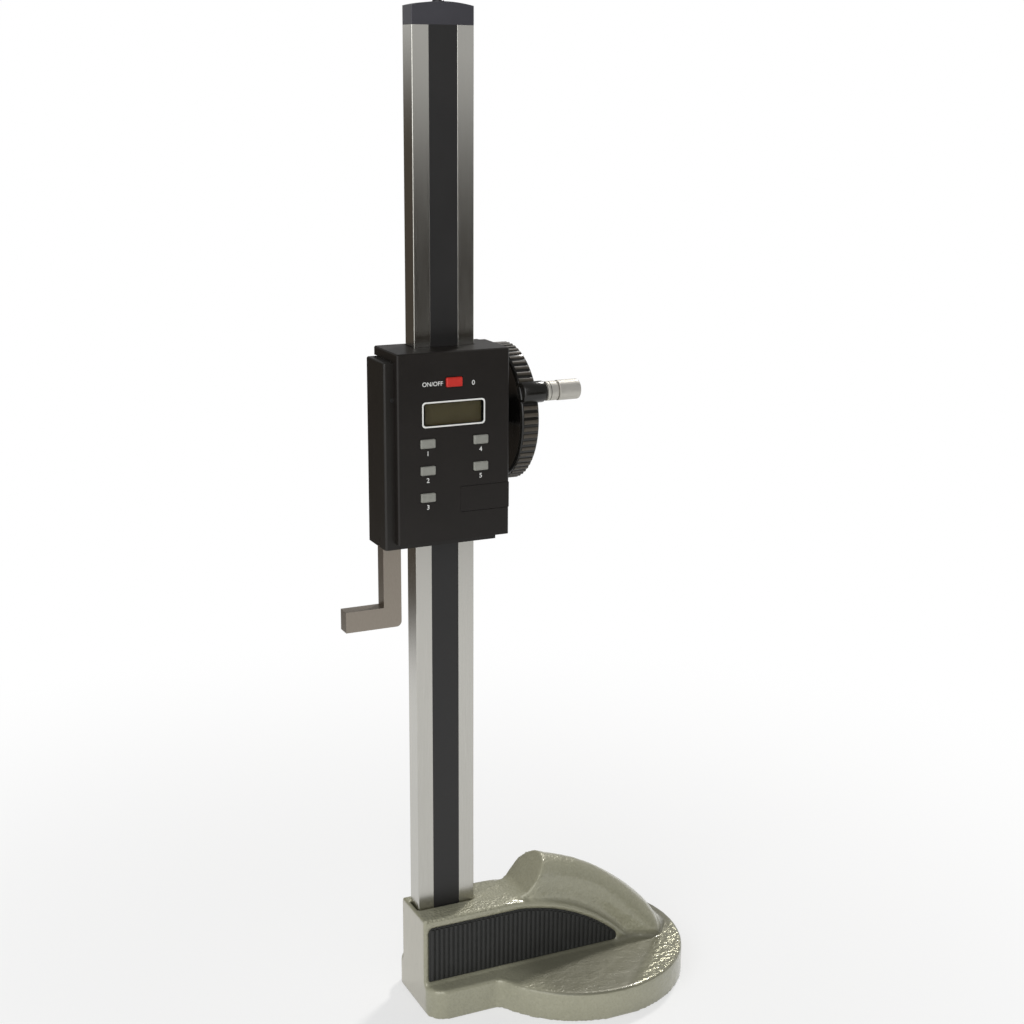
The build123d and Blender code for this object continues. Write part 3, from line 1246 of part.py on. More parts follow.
with BuildPart() as crank_collar:
    with BuildSketch(crank_plane(boss_right)):
        Circle(COLLAR_NECK_R)
    extrude(amount=COLLAR_NECK)
    with BuildSketch(crank_plane(boss_right + COLLAR_NECK)):
        Circle(COLLAR_R)
    extrude(amount=COLLAR_LENGTH)
    with BuildSketch(crank_plane(boss_right)):
        Circle(STUD_R)
    extrude(amount=COLLAR_NECK + COLLAR_LENGTH, mode=Mode.SUBTRACT)
write(crank_collar.part, "crank_collar")

with BuildPart() as crank_sleeve:
    with BuildSketch(crank_plane(sleeve_left)):
        Circle(COLLAR_NECK_R)
    extrude(amount=SLEEVE_STEP)
    with BuildSketch(crank_plane(sleeve_left + SLEEVE_STEP)):
        Circle(SLEEVE_R)
    extrude(amount=SLEEVE_LENGTH)
    chamfer(edges().filter_by(GeomType.CIRCLE).group_by(Axis.X)[-1], length=SLEEVE_ROUND)
    with BuildSketch(crank_plane(sleeve_left)):
        Circle(STUD_R + SLEEVE_RUN)
    extrude(amount=stud_right - sleeve_left + SLEEVE_GAP, mode=Mode.SUBTRACT)
write(crank_sleeve.part, "crank_sleeve")
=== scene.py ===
import json
from math import atan2, cos, hypot, pi, radians, sin, sqrt

import bmesh
import bpy
from mathutils import Matrix, Vector, noise


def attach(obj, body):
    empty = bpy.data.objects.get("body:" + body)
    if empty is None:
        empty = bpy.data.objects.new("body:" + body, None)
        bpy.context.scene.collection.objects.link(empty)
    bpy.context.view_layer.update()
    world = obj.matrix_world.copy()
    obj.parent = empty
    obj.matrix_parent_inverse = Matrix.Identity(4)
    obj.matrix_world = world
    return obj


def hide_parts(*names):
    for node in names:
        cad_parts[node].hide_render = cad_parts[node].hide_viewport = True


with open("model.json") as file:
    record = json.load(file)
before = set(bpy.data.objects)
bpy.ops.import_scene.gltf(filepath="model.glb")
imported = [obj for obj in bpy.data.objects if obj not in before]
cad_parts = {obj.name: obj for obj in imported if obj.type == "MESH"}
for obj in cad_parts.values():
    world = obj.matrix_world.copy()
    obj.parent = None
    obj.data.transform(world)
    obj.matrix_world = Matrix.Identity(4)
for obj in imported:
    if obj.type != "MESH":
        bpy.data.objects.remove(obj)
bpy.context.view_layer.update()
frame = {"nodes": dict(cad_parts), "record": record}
NODES = frame["nodes"]
MM = 0.001

# ------------------------------------------------------------------ places
# The gauge stands on z = 0 with its beam over the origin, its display towards
# -y and its round foot towards +x. NEAR tells which points lie on a plane.
SHAFT = Vector((0.0, 11.3, 285.6)) * MM
CRANK_RADIUS = 32.1 * MM
CRANK_ANGLE = radians(155.4)
CRANK = SHAFT + CRANK_RADIUS * Vector((0.0, cos(CRANK_ANGLE), sin(CRANK_ANGLE)))
RIM_RADIUS = 31.7 * MM
BOSS_RADIUS = 4.9 * MM
COLLAR_START = 43.7 * MM
COLLAR_LINE = 45.2 * MM
BEAM_HALF_X = 14.4 * MM
BEAM_HALF_Y = 5.2 * MM
BASE_FRONT = -16.8 * MM
BASE_MID_Y = -3.5 * MM
BLOCK_TOP = 48.3 * MM
FOOT_TOP = 14.8 * MM
CARRIAGE_TOP = 316.3 * MM
CARRIAGE_FRONT = -15.8 * MM
CARRIAGE_STEP = -18.5 * MM
CASE_FRONT = -19.7 * MM
BEZEL_RISE = 0.3 * MM
DISPLAY_X = -1.75 * MM
DISPLAY_HALF = 13.65 * MM
NEAR = 0.1 * MM


# ------------------------------------------------------- shader arithmetic
class Value:
    """A socket that can be used in arithmetic; each operation adds a node."""

    def __init__(self, shader, socket):
        self.shader = shader
        self.socket = socket

    def math(self, operation, *others):
        return self.shader.node("ShaderNodeMath", {"operation": operation}, self, *others)

    def __add__(self, other):
        return self.math("ADD", other)

    def __radd__(self, other):
        return self.math("ADD", other)

    def __sub__(self, other):
        return self.math("SUBTRACT", other)

    def __rsub__(self, other):
        return self.shader.node("ShaderNodeMath", {"operation": "SUBTRACT"}, other, self)

    def __mul__(self, other):
        return self.math("MULTIPLY", other)

    def __rmul__(self, other):
        return self.math("MULTIPLY", other)

    def abs(self):
        return self.math("ABSOLUTE")

    def over(self, other):
        return self.math("GREATER_THAN", other)

    def under(self, other):
        return self.math("LESS_THAN", other)

    def clamp(self):
        return self.shader.node("ShaderNodeClamp", {}, self)


def length(across, up):
    """The length of a vector with these two parts."""
    return (across * across + up * up).math("SQRT")


class Shader:
    """The node tree of a material or of the world, and what is added to it."""

    def __init__(self, tree):
        self.tree = tree
        tree.nodes.clear()

    def node(self, kind, settings, *values, out=0, **named):
        """Adds a node: its settings first, then its sockets' values or links."""
        made = self.tree.nodes.new(kind)
        for key, value in settings.items():
            setattr(made, key, value)
        sockets = list(zip(made.inputs, values))
        sockets += [(made.inputs[key.replace("_", " ")], value) for key, value in named.items()]
        for socket, value in sockets:
            if isinstance(value, Value):
                self.tree.links.new(value.socket, socket)
            elif value is not None:
                socket.default_value = value
        return Value(self, made.outputs[out])

    def outputs(self, value):
        """Every output, by name, of the node that a value comes from."""
        return {output.name: Value(self, output) for output in value.socket.node.outputs}

    def axes(self, vector):
        """The x, y and z of a vector as three values."""
        split = self.outputs(self.node("ShaderNodeSeparateXYZ", {}, vector))
        return split["X"], split["Y"], split["Z"]

    def ramp(self, value, low, high):
        """Rises smoothly from 0 to 1 as value goes from low to high."""
        return self.node(
            "ShaderNodeMapRange", {"interpolation_type": "SMOOTHSTEP"}, value, low, high, 0.0, 1.0
        )

    def end(self, surface, kind="ShaderNodeOutputMaterial"):
        """Gives a surface to the tree's output."""
        output = self.tree.nodes.new(kind)
        self.tree.links.new(surface.socket, output.inputs["Surface"])


class Finish(Shader):
    """One material, whose patterns lie in the object's own coordinates."""

    def __init__(self, name):
        self.material = bpy.data.materials.new(name)
        self.material.use_nodes = True
        super().__init__(self.material.node_tree)
        self.place = self.node("ShaderNodeTexCoord", {}, out="Object")

    def stretched(self, x, y, z):
        """Object coordinates scaled on each axis, for a pattern with a grain."""
        return self.node("ShaderNodeMapping", {}, self.place, None, None, (x, y, z))

    def noise(self, scale, detail=2.0, roughness=0.5, vector=None):
        return self.node(
            "ShaderNodeTexNoise", {}, out="Fac", Vector=vector or self.place,
            Scale=scale, Detail=detail, Roughness=roughness,
        )

    def cells(self, scale):
        """Rounded dimples, side by side."""
        return self.node(
            "ShaderNodeTexVoronoi", {"feature": "SMOOTH_F1"}, out="Distance",
            Vector=self.place, Scale=scale,
        )

    def blend(self, factor, first, second):
        """A colour between two colours."""
        mixed = self.tree.nodes.new("ShaderNodeMix")
        mixed.data_type = "RGBA"
        for index, value in ((0, factor), (6, first), (7, second)):
            socket = mixed.inputs[index]
            if isinstance(value, Value):
                self.tree.links.new(value.socket, socket)
            else:
                socket.default_value = (*value, 1.0)
        return Value(self, mixed.outputs[2])

    def bump(self, height, distance, strength):
        return self.node(
            "ShaderNodeBump", {}, out="Normal", Strength=strength, Distance=distance,
            Height=height,
        )

    def surface(self, **sockets):
        """The shader that everything feeds."""
        self.end(self.node("ShaderNodeBsdfPrincipled", {}, out="BSDF", **sockets))
        return self.material


# --------------------------------------------------------------- finishes
def hammered_lacquer():
    """Olive-grey hammertone over rough iron, with the front face ground bare and painted shade on
    the flat top of the round foot.
    """
    f = Finish("hammered_lacquer")
    x, y, z = f.axes(f.place)
    dimples = f.cells(820.0)
    fine = f.noise(1500.0, 3.0, 0.6)
    swell = f.noise(120.0, 3.0, 0.55)
    drift = f.noise(38.0, 3.0)
    tone = (dimples * 0.45 + fine * 0.25 + drift * 0.45).clamp()
    lacquer = f.blend(tone, (0.283, 0.274, 0.188), (0.405, 0.395, 0.288))

    ground = x.under(BASE_FRONT + 0.08 * MM)
    marks = f.noise(300.0, 3.0, vector=f.stretched(1.0, 6.0, 0.35))
    bare = f.blend(marks, (0.390, 0.370, 0.302), (0.530, 0.508, 0.430))

    # the lacquer lies thick and glossy on the front right rim of the round foot
    rim = f.ramp(x - y * 0.966, 128.0 * MM, 136.0 * MM)
    rim = rim * z.under(FOOT_TOP + 0.2 * MM) * z.over(FOOT_TOP - 0.8 * MM)
    # the casting is coarse on top of the block, in front of the beam
    coarse = z.over(BLOCK_TOP - 1.3 * MM) * f.ramp(x, 34.0 * MM, 24.0 * MM)
    coarse = coarse * f.ramp(y, -BEAM_HALF_Y - 1.8 * MM, -BEAM_HALF_Y - 4.8 * MM)
    # the flat top of the round foot is painted darker, a painted shade, except on its front right
    # rim; its coat and relief are weaker there too
    shelf = f.ramp(z, FOOT_TOP - 1.4 * MM, FOOT_TOP - 0.6 * MM)
    shelf = shelf * (1.0 - f.ramp(z, FOOT_TOP + 0.4 * MM, FOOT_TOP + 4.2 * MM))
    wear_and_painted_shade = shelf * f.ramp(x, 20.0 * MM, 45.0 * MM) * (1.0 - rim)
    # painted shade: the lacquer of the foot's flat top darkened
    lacquer_with_painted_shade = f.blend(wear_and_painted_shade, lacquer, (0.182, 0.176, 0.124))

    relief = dimples * (0.6 + rim * 0.3 + coarse * 1.2) + fine * 0.3 + swell * 1.6
    relief = relief * (1.0 - wear_and_painted_shade * 0.6) + f.cells(430.0) * rim * 2.2
    return f.surface(
        Base_Color=f.blend(ground, lacquer_with_painted_shade, bare),
        Metallic=0.18 + ground * 0.55 + rim * 0.25,
        Roughness=(0.42 - rim * 0.14) * (1.0 - ground) + ground * (0.40 + marks * 0.12),
        Normal=f.bump(relief * (1.0 - ground) + marks * ground * 0.1, 0.00038, 0.95),
        Coat_Weight=0.75 - wear_and_painted_shade * 0.45,
        Coat_Roughness=0.14,
    )


def ribbed_rubber():
    """Black rubber with a little dust in it."""
    f = Finish("ribbed_rubber")
    dust = f.noise(160.0, 4.0, 0.6)
    grain = f.noise(2600.0)
    return f.surface(
        Base_Color=f.blend(dust, (0.013, 0.0135, 0.0125), (0.028, 0.0285, 0.026)),
        Roughness=0.52 + dust * 0.2,
        Normal=f.bump(grain, 0.0001, 0.4),
    )


def ground_steel(name, dark, light, along=(1.0, 1.0, 0.03), roughness=0.3):
    """Satin steel with the fine lines of grinding along one direction."""
    f = Finish(name)
    lines = f.noise(2600.0, 4.0, 0.7, f.stretched(*along))
    patches = f.noise(26.0, 3.0, 0.6)
    return f.surface(
        Base_Color=f.blend(lines * 0.7 + patches * 0.3, dark, light),
        Metallic=1.0,
        Roughness=roughness + lines * 0.10 + patches * 0.06,
        Normal=f.bump(lines, 0.00004, 0.35),
    )


def satin_black(name, colour, lift, roughness, grain_scale, grain_depth, gloss=0.5):
    """Black lacquer or moulding with a fine grain and faint handling marks."""
    f = Finish(name)
    grain = f.noise(grain_scale, 3.0, 0.6)
    handled = f.noise(34.0, 4.0, 0.65)
    pale = tuple(channel * lift for channel in colour)
    return f.surface(
        Base_Color=f.blend(handled, colour, pale),
        Roughness=roughness - 0.05 + handled * 0.12 + grain * 0.04,
        Specular_IOR_Level=gloss,
        Normal=f.bump(grain, grain_depth, 0.5),
    )


def wheel_lacquer():
    """Glossy black lacquer, rubbed dull and brownish on the ridges of the rim."""
    f = Finish("wheel_black")
    _, y, z = f.axes(f.place)
    grain = f.noise(1300.0, 3.0, 0.6)
    handled = f.noise(34.0, 4.0, 0.65)
    from_shaft = length(y - SHAFT.y, z - SHAFT.z)
    from_crank = length(y - CRANK.y, z - CRANK.z)
    off_boss = from_crank.over(BOSS_RADIUS + 0.3 * MM)
    rubbed = f.ramp(from_shaft, RIM_RADIUS - 0.5 * MM, RIM_RADIUS - 0.1 * MM) * off_boss
    lacquer = f.blend(handled, (0.0075, 0.0070, 0.0060), (0.0150, 0.0138, 0.0115))
    wear_and_painted_shade = f.blend(handled, (0.052, 0.043, 0.031), (0.080, 0.067, 0.049))
    return f.surface(
        Base_Color=f.blend(rubbed, lacquer, wear_and_painted_shade),
        Roughness=0.16 + rubbed * 0.30 + handled * 0.08 + grain * 0.04,
        Specular_IOR_Level=0.45,
        Normal=f.bump(grain, 0.00005, 0.5),
    )


def bright_knob():
    """Satin plating with a blackened neck and a dark line round the collar, painted shade for the
    groove between collar and sleeve.
    """
    f = Finish("knob_steel")
    x = f.axes(f.place)[0]
    lines = f.noise(2600.0, 4.0, 0.7, f.stretched(0.2, 1.0, 1.0))
    patches = f.noise(300.0, 3.0, 0.6)
    neck = x.under(COLLAR_START - 0.08 * MM)
    # painted shade: a dark line where the groove between collar and sleeve lies
    line = 1.0 - f.ramp((x - COLLAR_LINE).abs(), 0.10 * MM, 0.22 * MM)
    plated = f.blend(lines * 0.5 + patches * 0.5, (0.46, 0.445, 0.40), (0.62, 0.60, 0.545))
    return f.surface(
        Base_Color=f.blend((neck + line).clamp(), plated, (0.02, 0.018, 0.016)),
        Metallic=0.55 - neck * 0.4,
        Roughness=0.46 + patches * 0.14,
        Normal=f.bump(lines, 0.00004, 0.35),
    )


def plain_brass():
    """Brass with duller patches."""
    f = Finish("plain_brass")
    tone = f.noise(220.0, 3.0)
    return f.surface(
        Base_Color=f.blend(tone, (0.50, 0.34, 0.13), (0.72, 0.53, 0.25)),
        Metallic=1.0,
        Roughness=0.28 + tone * 0.14,
    )


def circuit_board():
    """Green board with paler tracks."""
    f = Finish("circuit_board")
    tracks = f.node("ShaderNodeTexBrick", {}, out="Fac", Vector=f.place, Scale=160.0)
    return f.surface(
        Base_Color=f.blend(tracks, (0.012, 0.085, 0.04), (0.03, 0.16, 0.08)),
        Roughness=0.35,
    )


def olive_display():
    """The dark olive of a display that is switched off."""
    f = Finish("olive_display")
    haze = f.noise(90.0)
    return f.surface(
        Base_Color=f.blend(haze, (0.094, 0.077, 0.033), (0.120, 0.100, 0.044)),
        Roughness=0.42 + haze * 0.06,
    )


def clear_window():
    """Clear, with a black band at its left and right ends, a painted shadow of the bezel's inner
    edge.
    """
    f = Finish("clear_window")
    smear = f.noise(70.0, 3.0)
    # painted shadow: a dark, nearly opaque band along the window's left and right ends
    painted_shadow_band = (f.axes(f.place)[0] - DISPLAY_X).abs().over(DISPLAY_HALF)
    return f.surface(
        Base_Color=f.blend(painted_shadow_band, (0.02, 0.02, 0.015), (0.004, 0.004, 0.004)),
        Roughness=0.05 + smear * 0.06,
        Alpha=0.14 + painted_shadow_band * 0.80,
    )


def moulded(name, dark, light, sides=None):
    """Moulded plastic; sides, a painted shade, colours all of it that doesn't stand proud of the
    case.
    """
    f = Finish(name)
    tone = f.noise(500.0, 3.0)
    colour = f.blend(tone, dark, light)
    if sides:
        # painted shade: the faces behind the raised front take the dark sides colour
        front = f.axes(f.place)[1].under(CASE_FRONT - BEZEL_RISE + 0.05 * MM)
        colour = f.blend(front, sides, colour)
    return f.surface(
        Base_Color=colour,
        Roughness=0.38 + tone * 0.10,
        Normal=f.bump(tone, 0.00003, 0.4),
    )


def nickel():
    """Bright nickel, rubbed in places."""
    f = Finish("nickel")
    rub = f.noise(400.0, 3.0)
    return f.surface(
        Base_Color=f.blend(rub, (0.55, 0.54, 0.51), (0.74, 0.73, 0.70)),
        Metallic=1.0,
        Roughness=0.16 + rub * 0.12,
    )


def dark_felt():
    """Dark felt with pale fibres."""
    f = Finish("dark_felt")
    fibre = f.noise(1800.0, 5.0, 0.7)
    return f.surface(
        Base_Color=f.blend(fibre, (0.02, 0.02, 0.02), (0.07, 0.07, 0.065)),
        Roughness=0.95,
        Normal=f.bump(fibre, 0.0002, 0.7),
    )


def printed(name, colour):
    """Printing ink, a little worn."""
    f = Finish(name)
    wear = f.noise(900.0, 3.0)
    dim = tuple(channel * 0.82 for channel in colour)
    return f.surface(Base_Color=f.blend(wear, dim, colour), Roughness=0.45)


FINISHES = {
    "cast_base": hammered_lacquer(),
    "grip_rubber": ribbed_rubber(),
    "beam_steel": ground_steel(
        "beam_steel", (0.43, 0.42, 0.385), (0.60, 0.59, 0.55), roughness=0.16
    ),
    "scale_black": satin_black("scale_black", (0.0095, 0.0090, 0.0088), 1.8, 0.42, 2600.0, 0.00004),
    "rack_steel": ground_steel(
        "rack_steel", (0.30, 0.30, 0.30), (0.48, 0.48, 0.47), (0.03, 1.0, 1.0), 0.34
    ),
    "screw_steel": ground_steel("screw_steel", (0.05, 0.05, 0.05), (0.10, 0.10, 0.10)),
    "cap_black": satin_black("cap_black", (0.031, 0.030, 0.036), 1.7, 0.36, 1900.0, 0.00004),
    "head_black": satin_black(
        "head_black", (0.0078, 0.0066, 0.0052), 1.9, 0.36, 1500.0, 0.00006, 0.42
    ),
    "case_black": satin_black(
        "case_black", (0.0086, 0.0070, 0.0058), 1.8, 0.36, 3400.0, 0.00004, 0.33
    ),
    "arm_steel": ground_steel(
        "arm_steel", (0.28, 0.245, 0.205), (0.42, 0.375, 0.32), (1.0, 1.0, 0.2), 0.32
    ),
    "brass": plain_brass(),
    "board_green": circuit_board(),
    "lcd_olive": olive_display(),
    "window_clear": clear_window(),
    # the bezel's sides are painted near black, a painted shade round its pale front
    "bezel_pale": moulded(
        "bezel_pale", (0.80, 0.80, 0.76), (0.90, 0.90, 0.86), sides=(0.006, 0.006, 0.006)
    ),
    "button_red": moulded("button_red", (0.52, 0.018, 0.010), (0.62, 0.028, 0.017)),
    "button_grey": moulded("button_grey", (0.235, 0.235, 0.205), (0.32, 0.32, 0.285)),
    "cell_steel": nickel(),
    "wheel_black": wheel_lacquer(),
    "felt": dark_felt(),
    "knob_steel": bright_knob(),
}
WHITE_PRINT = printed("white_print", (0.86, 0.86, 0.83))

SLOT_OF = {row["node"]: row["material_slot"] for row in frame["record"]["subparts"]}
BODY_OF = {
    node: body
    for body, members in frame["record"]["behaviour"]["bodies"].items()
    for node in members
}
for node, piece in NODES.items():
    piece.data.materials.clear()
    piece.data.materials.append(FINISHES[SLOT_OF[node]])


# ----------------------------------------------------------------- making
MERGE_GAP = 0.002 * MM


def as_piece(name, mesh, slot, body, *nodes, material=None):
    """Registers a finished mesh as a piece of the object."""
    mesh.materials.clear()
    mesh.materials.append(material or FINISHES[slot])
    piece = bpy.data.objects.new(name, mesh)
    bpy.context.scene.collection.objects.link(piece)
    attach(piece, body)
    if nodes:
        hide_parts(*nodes)


def settled(data, modify=None):
    """The mesh of a curve, or of a mesh with the modifiers that modify adds."""
    carrier = bpy.data.objects.new("carrier", data)
    bpy.context.scene.collection.objects.link(carrier)
    if modify:
        modify(carrier)
    depsgraph = bpy.context.evaluated_depsgraph_get()
    result = bpy.data.meshes.new_from_object(carrier.evaluated_get(depsgraph))
    bpy.data.objects.remove(carrier)
    return result


def merged(node):
    """A solid as a bmesh, with the doubled points of its loose faces merged."""
    shape = bmesh.new()
    shape.from_mesh(NODES[node].data)
    bmesh.ops.remove_doubles(shape, verts=shape.verts, dist=MERGE_GAP)
    return shape


def as_mesh(name, shape):
    """The mesh of a bmesh, which is let go."""
    mesh = bpy.data.meshes.new(name)
    shape.to_mesh(mesh)
    shape.free()
    return mesh


# ------------------------------------------------------------- eased edges
FLAT = radians(0.3)
SHARP = radians(32.0)
SMOOTH = radians(40.0)
BROAD_EASE = 0.9 * MM
BUTTONS = ("power", "hold", "mode", "units", "limits", "preset")
# how wide the eased edges of each solid are, in mm
EASES = {
    "beam": 0.12, "scale_strip": 0.08, "beam_cap": 0.5, "display_case": 0.4,
    "measuring_arm": 0.45, "gear_cover": 0.3, "lcd_bezel": 0.08, "battery_door": 0.12,
    "crank_collar": 0.25, "crank_sleeve": 0.3, "lock_screw": 0.2,
    **{"button_" + name: 0.22 for name in BUTTONS},
    "pinion": 0.08, "rack": 0.08, "wheel_screw": 0.2, "cap_screw": 0.15,
    "gear_cover_screws": 0.15,
}


def carriage_outline(place):
    """Whether a point of the carriage's top is at its front or left of the beam."""
    top = place.z > CARRIAGE_TOP - NEAR
    return top and (place.x < CARRIAGE_STEP + NEAR or place.y < CARRIAGE_FRONT + NEAR)


def eased(node, width, broad=None):
    """A copy of a solid with its sharp edges eased, standing for the solid.

    The edges whose ends broad picks are rounded more widely.
    """
    shape = merged(node)
    bmesh.ops.dissolve_limit(shape, angle_limit=FLAT, verts=shape.verts, edges=shape.edges)
    if broad:
        chosen = [
            edge for edge in shape.edges
            if edge.calc_face_angle(0.0) > SHARP and all(broad(end.co) for end in edge.verts)
        ]
        bmesh.ops.bevel(
            shape, geom=chosen, offset=BROAD_EASE, segments=4, profile=0.5, affect="EDGES",
            clamp_overlap=True,
        )
    mesh = as_mesh(node + "_solid", shape)
    mesh.shade_smooth()
    mesh.set_sharp_from_angle(angle=SMOOTH)

    def modify(carrier):
        bevel = carrier.modifiers.new("ease", "BEVEL")
        bevel.width = width
        bevel.segments = 2
        bevel.limit_method = "ANGLE"
        bevel.angle_limit = SHARP
        bevel.harden_normals = True
        flatten = carrier.modifiers.new("flatten", "WEIGHTED_NORMAL")
        flatten.keep_sharp = True

    as_piece(node + "_eased", settled(mesh, modify), SLOT_OF[node], BODY_OF[node], node)


# ----------------------------------------------------------------- casting
def make_casting():
    """The base with the soft edges and the uneven skin of a painted casting."""
    def modify(carrier):
        skin = carrier.modifiers.new("skin", "REMESH")
        skin.mode = "VOXEL"
        skin.voxel_size = 0.85 * MM
        skin.use_smooth_shade = True
        soften = carrier.modifiers.new("soften", "SMOOTH")
        soften.factor = 0.5
        soften.iterations = 2

    def skin_height(place):
        """How far the skin stands off at a place; the flats that fit stay flat."""
        ground = place.x < BASE_FRONT + 0.5 * MM
        beside = abs(place.x) < BEAM_HALF_X + 1.1 * MM and abs(place.y) < BEAM_HALF_Y + 0.8 * MM
        if place.z < 0.5 * MM or ground or beside:
            return 0.0
        pits = noise.noise(place * 430.0) * 0.085 + noise.noise(place * 190.0) * 0.095
        return (pits - 0.12) * MM

    mesh = settled(as_mesh("casting", merged("base_casting")), modify)
    moves = [vertex.normal * skin_height(vertex.co) for vertex in mesh.vertices]
    for vertex, move in zip(mesh.vertices, moves):
        vertex.co += move
    mesh.update()
    as_piece("base_skin", mesh, "cast_base", "stand", "base_casting")


# ---------------------------------------------------- turned and repeated
TURNED_SMOOTH = radians(38.0)
BAR_STEPS = 13
BAR_SIDES = 16
BAR_BLUNTNESS = 9.0
BAR_TIP = 0.12


def turned(name, profile, centre, slot, body, *nodes, steps=96):
    """A ring turned about the X axis through centre, from (x, radius) in mm."""
    shape = bmesh.new()
    rings = []
    for step in range(steps):
        angle = 2 * pi * step / steps
        rings.append([
            shape.verts.new((
                x * MM, centre.y + radius * MM * cos(angle), centre.z + radius * MM * sin(angle)
            ))
            for x, radius in profile
        ])
    for here, there in zip(rings, rings[1:] + rings[:1]):
        for index in range(len(profile)):
            after = (index + 1) % len(profile)
            shape.faces.new((here[index], here[after], there[after], there[index]))
    bmesh.ops.recalc_face_normals(shape, faces=shape.faces)
    mesh = as_mesh(name, shape)
    mesh.shade_smooth()
    mesh.set_sharp_from_angle(angle=TURNED_SMOOTH)
    as_piece(name, mesh, slot, body, *nodes)


class Repeat:
    """A geometry nodes group with named inputs, and its nodes."""

    def __init__(self, name, inputs):
        self.tree = bpy.data.node_groups.new(name, "GeometryNodeTree")
        for label, kind, value in inputs:
            entry = self.tree.interface.new_socket(label, in_out="INPUT", socket_type=kind)
            entry.default_value = value
        self.tree.interface.new_socket(
            "Geometry", in_out="OUTPUT", socket_type="NodeSocketGeometry"
        )
        self.given = self.tree.nodes.new("NodeGroupInput").outputs

    def node(self, kind, *values, settings=None, **named):
        """Adds a node and returns its first output."""
        made = self.tree.nodes.new(kind)
        for key, value in (settings or {}).items():
            setattr(made, key, value)
        sockets = list(zip(made.inputs, values))
        sockets += [(made.inputs[key.replace("_", " ")], value) for key, value in named.items()]
        for socket, value in sockets:
            if isinstance(value, bpy.types.NodeSocket):
                self.tree.links.new(value, socket)
            else:
                socket.default_value = value
        return made.outputs[0]

    def math(self, operation, *values):
        return self.node("ShaderNodeMath", *values, settings={"operation": operation})

    def bar(self, reach, radius):
        """A round bar along Z from 0 to reach, with rounded ends."""
        end = self.node("ShaderNodeCombineXYZ", 0.0, 0.0, reach)
        line = self.node("GeometryNodeCurvePrimitiveLine", Start=(0.0, 0.0, 0.0), End=end)
        line = self.node("GeometryNodeResampleCurve", line, Count=BAR_STEPS)
        along = self.node("GeometryNodeSplineParameter")
        centred = self.math("ABSOLUTE", self.math("MULTIPLY_ADD", along, 2.0, -1.0))
        fall = self.math("POWER", centred, BAR_BLUNTNESS)
        rounded = self.math("SQRT", self.math("SUBTRACT", 1.0, fall))
        kept = self.math("MAXIMUM", rounded, BAR_TIP)
        line = self.node("GeometryNodeSetCurveRadius", line, Radius=kept)
        ring = self.node("GeometryNodeCurvePrimitiveCircle", BAR_SIDES, Radius=radius)
        return self.node("GeometryNodeCurveToMesh", line, ring, Fill_Caps=True)

    def finish(self, geometry, material):
        """Realizes the copies, sets their material and returns the mesh."""
        real = self.node("GeometryNodeRealizeInstances", geometry)
        smooth = self.node("GeometryNodeSetShadeSmooth", real, Shade_Smooth=True)
        done = self.node("GeometryNodeSetMaterial", smooth, Material=material)
        output = self.tree.nodes.new("NodeGroupOutput")
        self.tree.links.new(done, output.inputs[0])
        seed = bpy.data.meshes.new(self.tree.name + "_seed")

        def modify(carrier):
            carrier.modifiers.new("repeat", "NODES").node_group = self.tree

        return settled(seed, modify)


# --------------------------------------------------------------- handwheel
WHEEL_PROFILE = [
    (27.6, 3.0), (27.6, 7.5), (28.1, 8.0), (34.0, 8.0), (35.0, 8.5), (35.7, 9.8),
    (35.7, 24.5), (35.4, 26.4), (34.6, 27.5), (33.4, 27.95), (32.3, 28.0), (31.85, 28.4),
    (31.7, 29.0), (31.7, 30.1), (31.85, 30.7), (32.3, 31.1), (32.7, 31.15), (39.3, 31.15),
    (39.8, 31.05), (40.15, 30.7), (40.3, 30.1), (40.3, 29.0), (40.15, 28.4), (39.7, 28.0),
    (39.3, 27.8), (38.85, 27.0), (38.7, 26.0), (38.7, 9.4), (39.0, 8.5), (39.8, 8.0),
    (41.1, 8.0), (41.6, 7.5), (41.6, 2.0), (40.0, 2.0), (40.0, 3.0),
]
BOSS_PROFILE = [
    (33.7, 2.0), (33.7, 3.2), (31.5, 3.2), (31.5, 4.1), (31.65, 4.55), (32.1, 4.9),
    (41.7, 4.9), (42.2, 4.75), (42.5, 4.3), (42.5, 2.0),
]
RIDGE_START = 32.55 * MM


def make_handwheel():
    """Dished wheel with rounded rim, its ridges and the boss of its crank."""
    turned("handwheel_body", WHEEL_PROFILE, SHAFT, "wheel_black", "wheel", "handwheel")
    turned("crank_boss", BOSS_PROFILE, CRANK, "wheel_black", "wheel", steps=48)
    g = Repeat("wheel_ridges", (
        ("Ridges", "NodeSocketInt", 60),
        ("Ring Radius", "NodeSocketFloat", 30.22 * MM),
        ("Ridge Radius", "NodeSocketFloat", 1.48 * MM),
        ("Length", "NodeSocketFloat", 6.9 * MM),
    ))
    ring = g.node("GeometryNodeMeshCircle", g.given["Ridges"], g.given["Ring Radius"])
    points = g.node("GeometryNodeMeshToPoints", ring)
    ridge = g.bar(g.given["Length"], g.given["Ridge Radius"])
    copies = g.node("GeometryNodeInstanceOnPoints", points, Instance=ridge)
    mesh = g.finish(copies, FINISHES["wheel_black"])
    # the ring's z becomes the shaft's x
    mesh.transform(Matrix((
        (0, 0, 1, RIDGE_START), (1, 0, 0, SHAFT.y), (0, 1, 0, SHAFT.z), (0, 0, 0, 1)
    )))
    as_piece("wheel_ridges", mesh, "wheel_black", "wheel")


